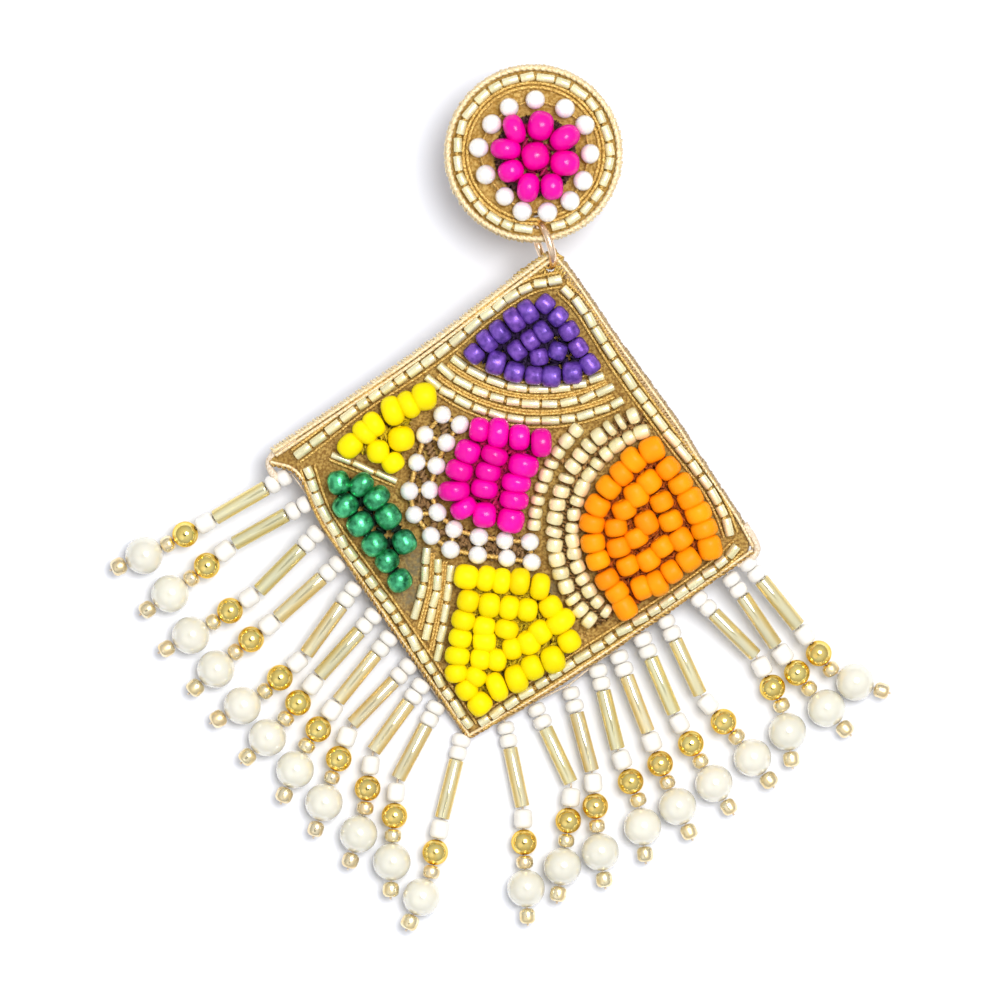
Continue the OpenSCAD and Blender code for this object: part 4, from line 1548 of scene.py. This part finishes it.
class EARRING_OT_fringe(bpy.types.Operator):
    """The fringe's beads, each kind one piece, and the threads they hang on"""

    bl_idname = "earring.fringe"
    bl_label = "Fringe"

    def execute(self, context):
        f = context.scene.earring_fringe
        up = Vector((0, 0, 1))
        draw = random.Random(51)
        vary = draw.uniform
        whites, collars, bugles, linings, balls, seeds, pearls, stops, threads = (
            [] for _ in range(9)
        )
        for name in STRANDS:
            at = strand_beads(name)
            first, second, third = at[1] - at[0], at[5] - at[3], at[7] - at[6]
            # Widths and lengths vary by a few hundredths, and round beads are rolled by chance
            for k in (0, 1):
                wide, long = vary(0.94, 1.04), vary(0.93, 1.05)
                whites.append(seat(at[k], first, up, wide, long, vary(0, 6)))
            # A long tube is rolled by a little, so that its painted deeper sides and paler top stay
            # where they are seen from above
            bugles.append(seat(at[2], first, up, vary(0.95, 1.03), 1, vary(-0.3, 0.3)))
            # Each lining has one of its eight faces turned up and a little aside
            linings.append(seat(at[2], first, up, 1, 1, draw.gauss(0.6, 0.07)))
            collars.append(seat(at[3], second, up, vary(0.94, 1.03), 1, vary(0, 6)))
            balls.append(seat(at[4], second, up, 1, 1, vary(0, 6)))
            seeds.append(seat(at[5], second, up, vary(0.94, 1.04), 1, vary(0, 6)))
            pearls.append(seat(at[6], third, up, 1, 1, vary(0, 6)))
            stops.append(seat(at[7], third, up, vary(0.94, 1.04), 1, vary(0, 6)))
            ahead, last = first.normalized() * MM, third.normalized() * MM
            threads.append(
                [at[0] - ahead * 1.0, at[0], at[1], at[2], at[2] + ahead * 3.5]
                + [at[3], at[4], at[5], at[6], at[7], at[7] + last * 1.15]
            )
        white = made("milk_white", glass_material, f.white, (0.80, 0.75, 0.66), 0.2, 0.4, 0.0, 0.06)
        rose = made("pale_rose_plating", metal_material, f.rose, (0.98, 0.76, 0.40), 0.27, 0.12)
        glass = made("clear_gold_glass", clear_material, (1.0, 0.96, 0.66), (0.97, 0.75, 0.26))
        shine = ((1.0, 0.98, 0.93), (1.0, 0.94, 0.80))
        lining = made("bright_lining", metal_material, *shine, roughness=0.1, light_spread=0.06)
        worn, rim = (0.98, 0.70, 0.18), (0.95, 0.62, 0.16)
        gold = made("polished_gold", metal_material, f.ball, worn, 0.14, 0.08, rim)
        blush, skin = (0.77, 0.75, 0.65), (1.0, 0.985, 0.95)
        pearl = made("large_pearl_lacquer", pearl_material, f.pearl, blush, 0.2, skin)
        kinds = [
            ("fringe_whites", f.white_width / MM, whites, white, "pearl_seed"),
            ("fringe_collars", f.white_width / MM, collars, white, "pearl_seed"),
            ("fringe_long_tubes", f.bugle_width / MM, bugles, glass, "tube_glass"),
            ("fringe_tube_linings", LINING_WIDTH, linings, lining, "tube_glass"),
            ("fringe_balls", f.ball_width / MM, balls, gold, "ball_gold"),
            ("fringe_small_metal", f.seed_width / MM, seeds, rose, "rose_seed"),
            ("fringe_stops", f.seed_width / MM, stops, rose, "rose_seed"),
            ("fringe_pearls", f.pearl_width / MM, pearls, pearl, "drop_pearl"),
        ]
        for name, width, seats, material, slot in kinds:
            piece = copies(fringe_bead(name, width), seats, name, draw)
            dress(piece, material, slot, *STRANDS)
        roots = [route[0] for route in threads]
        for a, b in zip(roots, roots[1:]):
            if (a - b).length < ROOT_SPAN * MM:
                threads.append([a, a.lerp(b, 0.5) + up * 0.2 * MM, b])
        cords = twisted_thread("fringe_cords", threads, 0.3, 0.7)
        dress(cords, cream_yarn(context), "stringing_thread", "fringe_threads")
        return {"FINISHED"}


def metal_disc(radius, low, height, sides):
    """A round disc that stands on a height, its place in its mesh. All in mm."""
    start_clean()
    bpy.ops.mesh.primitive_cylinder_add(
        vertices=sides,
        radius=radius * MM,
        depth=height * MM,
        location=(0, 0, (low + height / 2) * MM),
    )
    disc = bpy.context.object
    bpy.ops.object.transform_apply(location=True)
    return disc


class EARRING_OT_ring(bpy.types.Operator):
    """Jump ring of round wire, with the cut where it is opened"""

    bl_idname = "earring.ring"
    bl_label = "Jump ring"

    def execute(self, context):
        low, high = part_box("jump_ring")
        middle = (low + high) / 2
        points = [v.co.copy() for v in frame["nodes"]["jump_ring"].data.vertices]
        span = max(points, key=lambda p: (p - middle).length) - middle
        second = max(points, key=lambda p: (p - middle).cross(span).length) - middle
        start_clean()
        bpy.ops.mesh.primitive_torus_add(
            major_segments=72,
            minor_segments=14,
            major_radius=span.length - PACKED_WIRE_RADIUS * MM,
            minor_radius=WIRE_RADIUS * MM,
        )
        ring = bpy.context.object
        edit(ring)

        def at_cut(face):
            place = face.calc_center_median()
            return abs(math.atan2(place.y, place.x)) < RING_CUT

        pick(ring, "faces", at_cut)
        bpy.ops.mesh.delete(type="FACE")
        bpy.ops.mesh.select_mode(type="EDGE")
        pick(ring, "edges", lambda e: e.is_boundary)
        bpy.ops.mesh.edge_face_add()
        start_clean()
        z = span.cross(second).normalized()
        x = (Vector((0, 0, 1)) - z * z.z).normalized()
        turned = axes(x, z).to_4x4() @ Matrix.Rotation(0.5, 4, "Z")
        ring.data.transform(Matrix.Translation(middle) @ turned)
        ring.name = "ring"
        finish_smooth(ring, 50)
        metal = made("worn_rose_wire", metal_material, (1.0, 0.80, 0.56), (0.88, 0.60, 0.36), 0.22)
        dress(ring, metal, "ring_metal", "jump_ring")
        return {"FINISHED"}


class EARRING_OT_post(bpy.types.Operator):
    """Ear post with its pad: a grooved pin with a rounded tip"""

    bl_idname = "earring.post"
    bl_label = "Ear post"

    def execute(self, context):
        near = 0.01 * MM
        pin = metal_disc(PIN_RADIUS, 0, PIN_LENGTH, 20)
        edit(pin, "EDGE")
        pick(pin, "edges", lambda e: all(v.co.z < near for v in e.verts))
        bpy.ops.mesh.bevel(offset=0.16 * MM, segments=3, affect="EDGES")
        for height in (GROOVE_AT - GROOVE_REACH, GROOVE_AT, GROOVE_AT + GROOVE_REACH):
            bpy.ops.mesh.select_all(action="SELECT")
            bpy.ops.mesh.bisect(plane_co=(0, 0, height * MM), plane_no=(0, 0, 1))
        pick(pin, "verts", lambda v: abs(v.co.z - GROOVE_AT * MM) < near)
        waist = (0, 0, GROOVE_AT * MM)
        bpy.ops.transform.resize(value=(0.8, 0.8, 1), center_override=waist)
        pad = metal_disc(PAD_RADIUS, PIN_LENGTH, PAD_HEIGHT, 40)
        edit(pad, "EDGE")
        pick(pad, "edges", lambda e: abs(e.verts[0].co.z - e.verts[1].co.z) < near)
        bpy.ops.mesh.bevel(offset=0.12 * MM, segments=3, affect="EDGES")
        pick(pad, "faces", lambda f: f.normal.z < -0.95 and f.calc_area() > 4 * MM * MM)
        bpy.ops.mesh.select_mode(type="FACE")
        bpy.ops.mesh.inset(thickness=1.9 * MM)
        bpy.ops.transform.translate(value=(0, 0, -0.1 * MM))
        piece = finish_smooth(joined("ear_post", [pin, pad]), 35)
        steel = made("brushed_steel", metal_material, (0.72, 0.71, 0.70), (0.45, 0.44, 0.43), 0.26)
        dress(piece, steel, "post_metal", "stud_post")
        return {"FINISHED"}


class EARRING_OT_stage(bpy.types.Operator):
    """Floor, lights, room light and camera"""

    bl_idname = "earring.stage"
    bl_label = "Stage"

    def execute(self, context):
        s = context.scene.earring_stage
        low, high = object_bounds()
        middle = (Vector(low) + Vector(high)) / 2
        start_clean()
        bpy.ops.mesh.primitive_plane_add(size=4, location=(middle.x, middle.y, -0.00002))
        floor = context.object
        floor.name = "floor"
        floor.data.materials.append(floor_material("floor_board", s.floor))
        floor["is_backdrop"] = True
        # Name, power, size across, and place from the middle of the floor below the earring, in m
        for name, power, size, away in (
            ("key", s.key_power, 0.27, (0.12, 0.09, 0.58)),
            ("fill", s.fill_power, 0.50, (-0.35, -0.30, 0.45)),
        ):
            light = bpy.data.lights.new(name, "AREA")
            light.energy = power
            light.shape = "DISK"
            light.size = size
            lamp = new_object(name, light)
            lamp.location = Vector((middle.x, middle.y, 0)) + Vector(away)
            lamp.rotation_euler = Vector(away).to_track_quat("Z", "Y").to_euler()
        world = bpy.data.worlds.new("room")
        context.scene.world = world
        world.use_nodes = True
        tree = world.node_tree
        place = node(tree, "ShaderNodeTexCoord")
        split = node(tree, "ShaderNodeSeparateXYZ", {"Vector": place.outputs["Generated"]})
        ramp = node(tree, "ShaderNodeValToRGB", {"Fac": split.outputs["Z"]})
        ramp.color_ramp.elements[0].color = (0.42, 0.43, 0.47, 1)
        # The room is dark where the camera stands, straight above
        ramp.color_ramp.elements[1].color = (0.05, 0.05, 0.05, 1)
        # Height in the room and how bright it is there, a little bluer than grey
        for position, grey in ((0.45, 0.74), (0.8, 0.95), (0.94, 1.0), (0.97, 0.15)):
            step = ramp.color_ramp.elements.new(position)
            step.color = (grey * 0.98, grey, grey * 1.06, 1)
        background = tree.nodes["Background"]
        tree.links.new(ramp.outputs["Color"], background.inputs["Color"])
        background.inputs["Strength"].default_value = s.sky
        camera = bpy.data.cameras.new("camera")
        camera.lens = s.lens
        camera.sensor_width = FILM_WIDTH
        camera.clip_start = 0.01
        eye = new_object("camera", camera)
        # The view width holds 3 mm above the floor, about where the panel lies
        away = s.view_width * s.lens / FILM_WIDTH
        eye.location = (middle.x, middle.y, away + 3 * MM)
        context.scene.camera = eye
        context.scene.view_settings.view_transform = "Standard"
        return {"FINISHED"}


class EARRING_PT_panel(bpy.types.Panel):
    """Lists the steps that dress the earring"""

    bl_label = "Beaded Earring"
    bl_idname = "EARRING_PT_panel"
    bl_space_type = "VIEW_3D"
    bl_region_type = "UI"
    bl_category = "Earring"

    def draw(self, context):
        for group in settings(context):
            box = self.layout.box()
            for key in group.__annotations__:
                box.prop(group, key)
        for step in STEPS:
            self.layout.operator(step.bl_idname)


STEPS = (
    EARRING_OT_stage,
    EARRING_OT_felt,
    EARRING_OT_edges,
    EARRING_OT_couching,
    EARRING_OT_tubes,
    EARRING_OT_gold_seeds,
    EARRING_OT_fields,
    EARRING_OT_pearls,
    EARRING_OT_fringe,
    EARRING_OT_ring,
    EARRING_OT_post,
)
GROUPS = {
    "earring_beads": EARRING_PG_beads,
    "earring_fringe": EARRING_PG_fringe,
    "earring_cloth": EARRING_PG_cloth,
    "earring_stage": EARRING_PG_stage,
}


def register():
    for kind in (*GROUPS.values(), *STEPS, EARRING_PT_panel):
        bpy.utils.register_class(kind)
    for name, kind in GROUPS.items():
        setattr(bpy.types.Scene, name, bpy.props.PointerProperty(type=kind))


def unregister():
    for name in GROUPS:
        delattr(bpy.types.Scene, name)
    for kind in (EARRING_PT_panel, *reversed(STEPS), *GROUPS.values()):
        bpy.utils.unregister_class(kind)


def main():
    """Dresses the frame."""
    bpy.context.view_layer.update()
    register()
    for step in STEPS:
        group, name = step.bl_idname.split(".")
        getattr(getattr(bpy.ops, group), name)()


if __name__ == "__main__":
    main()
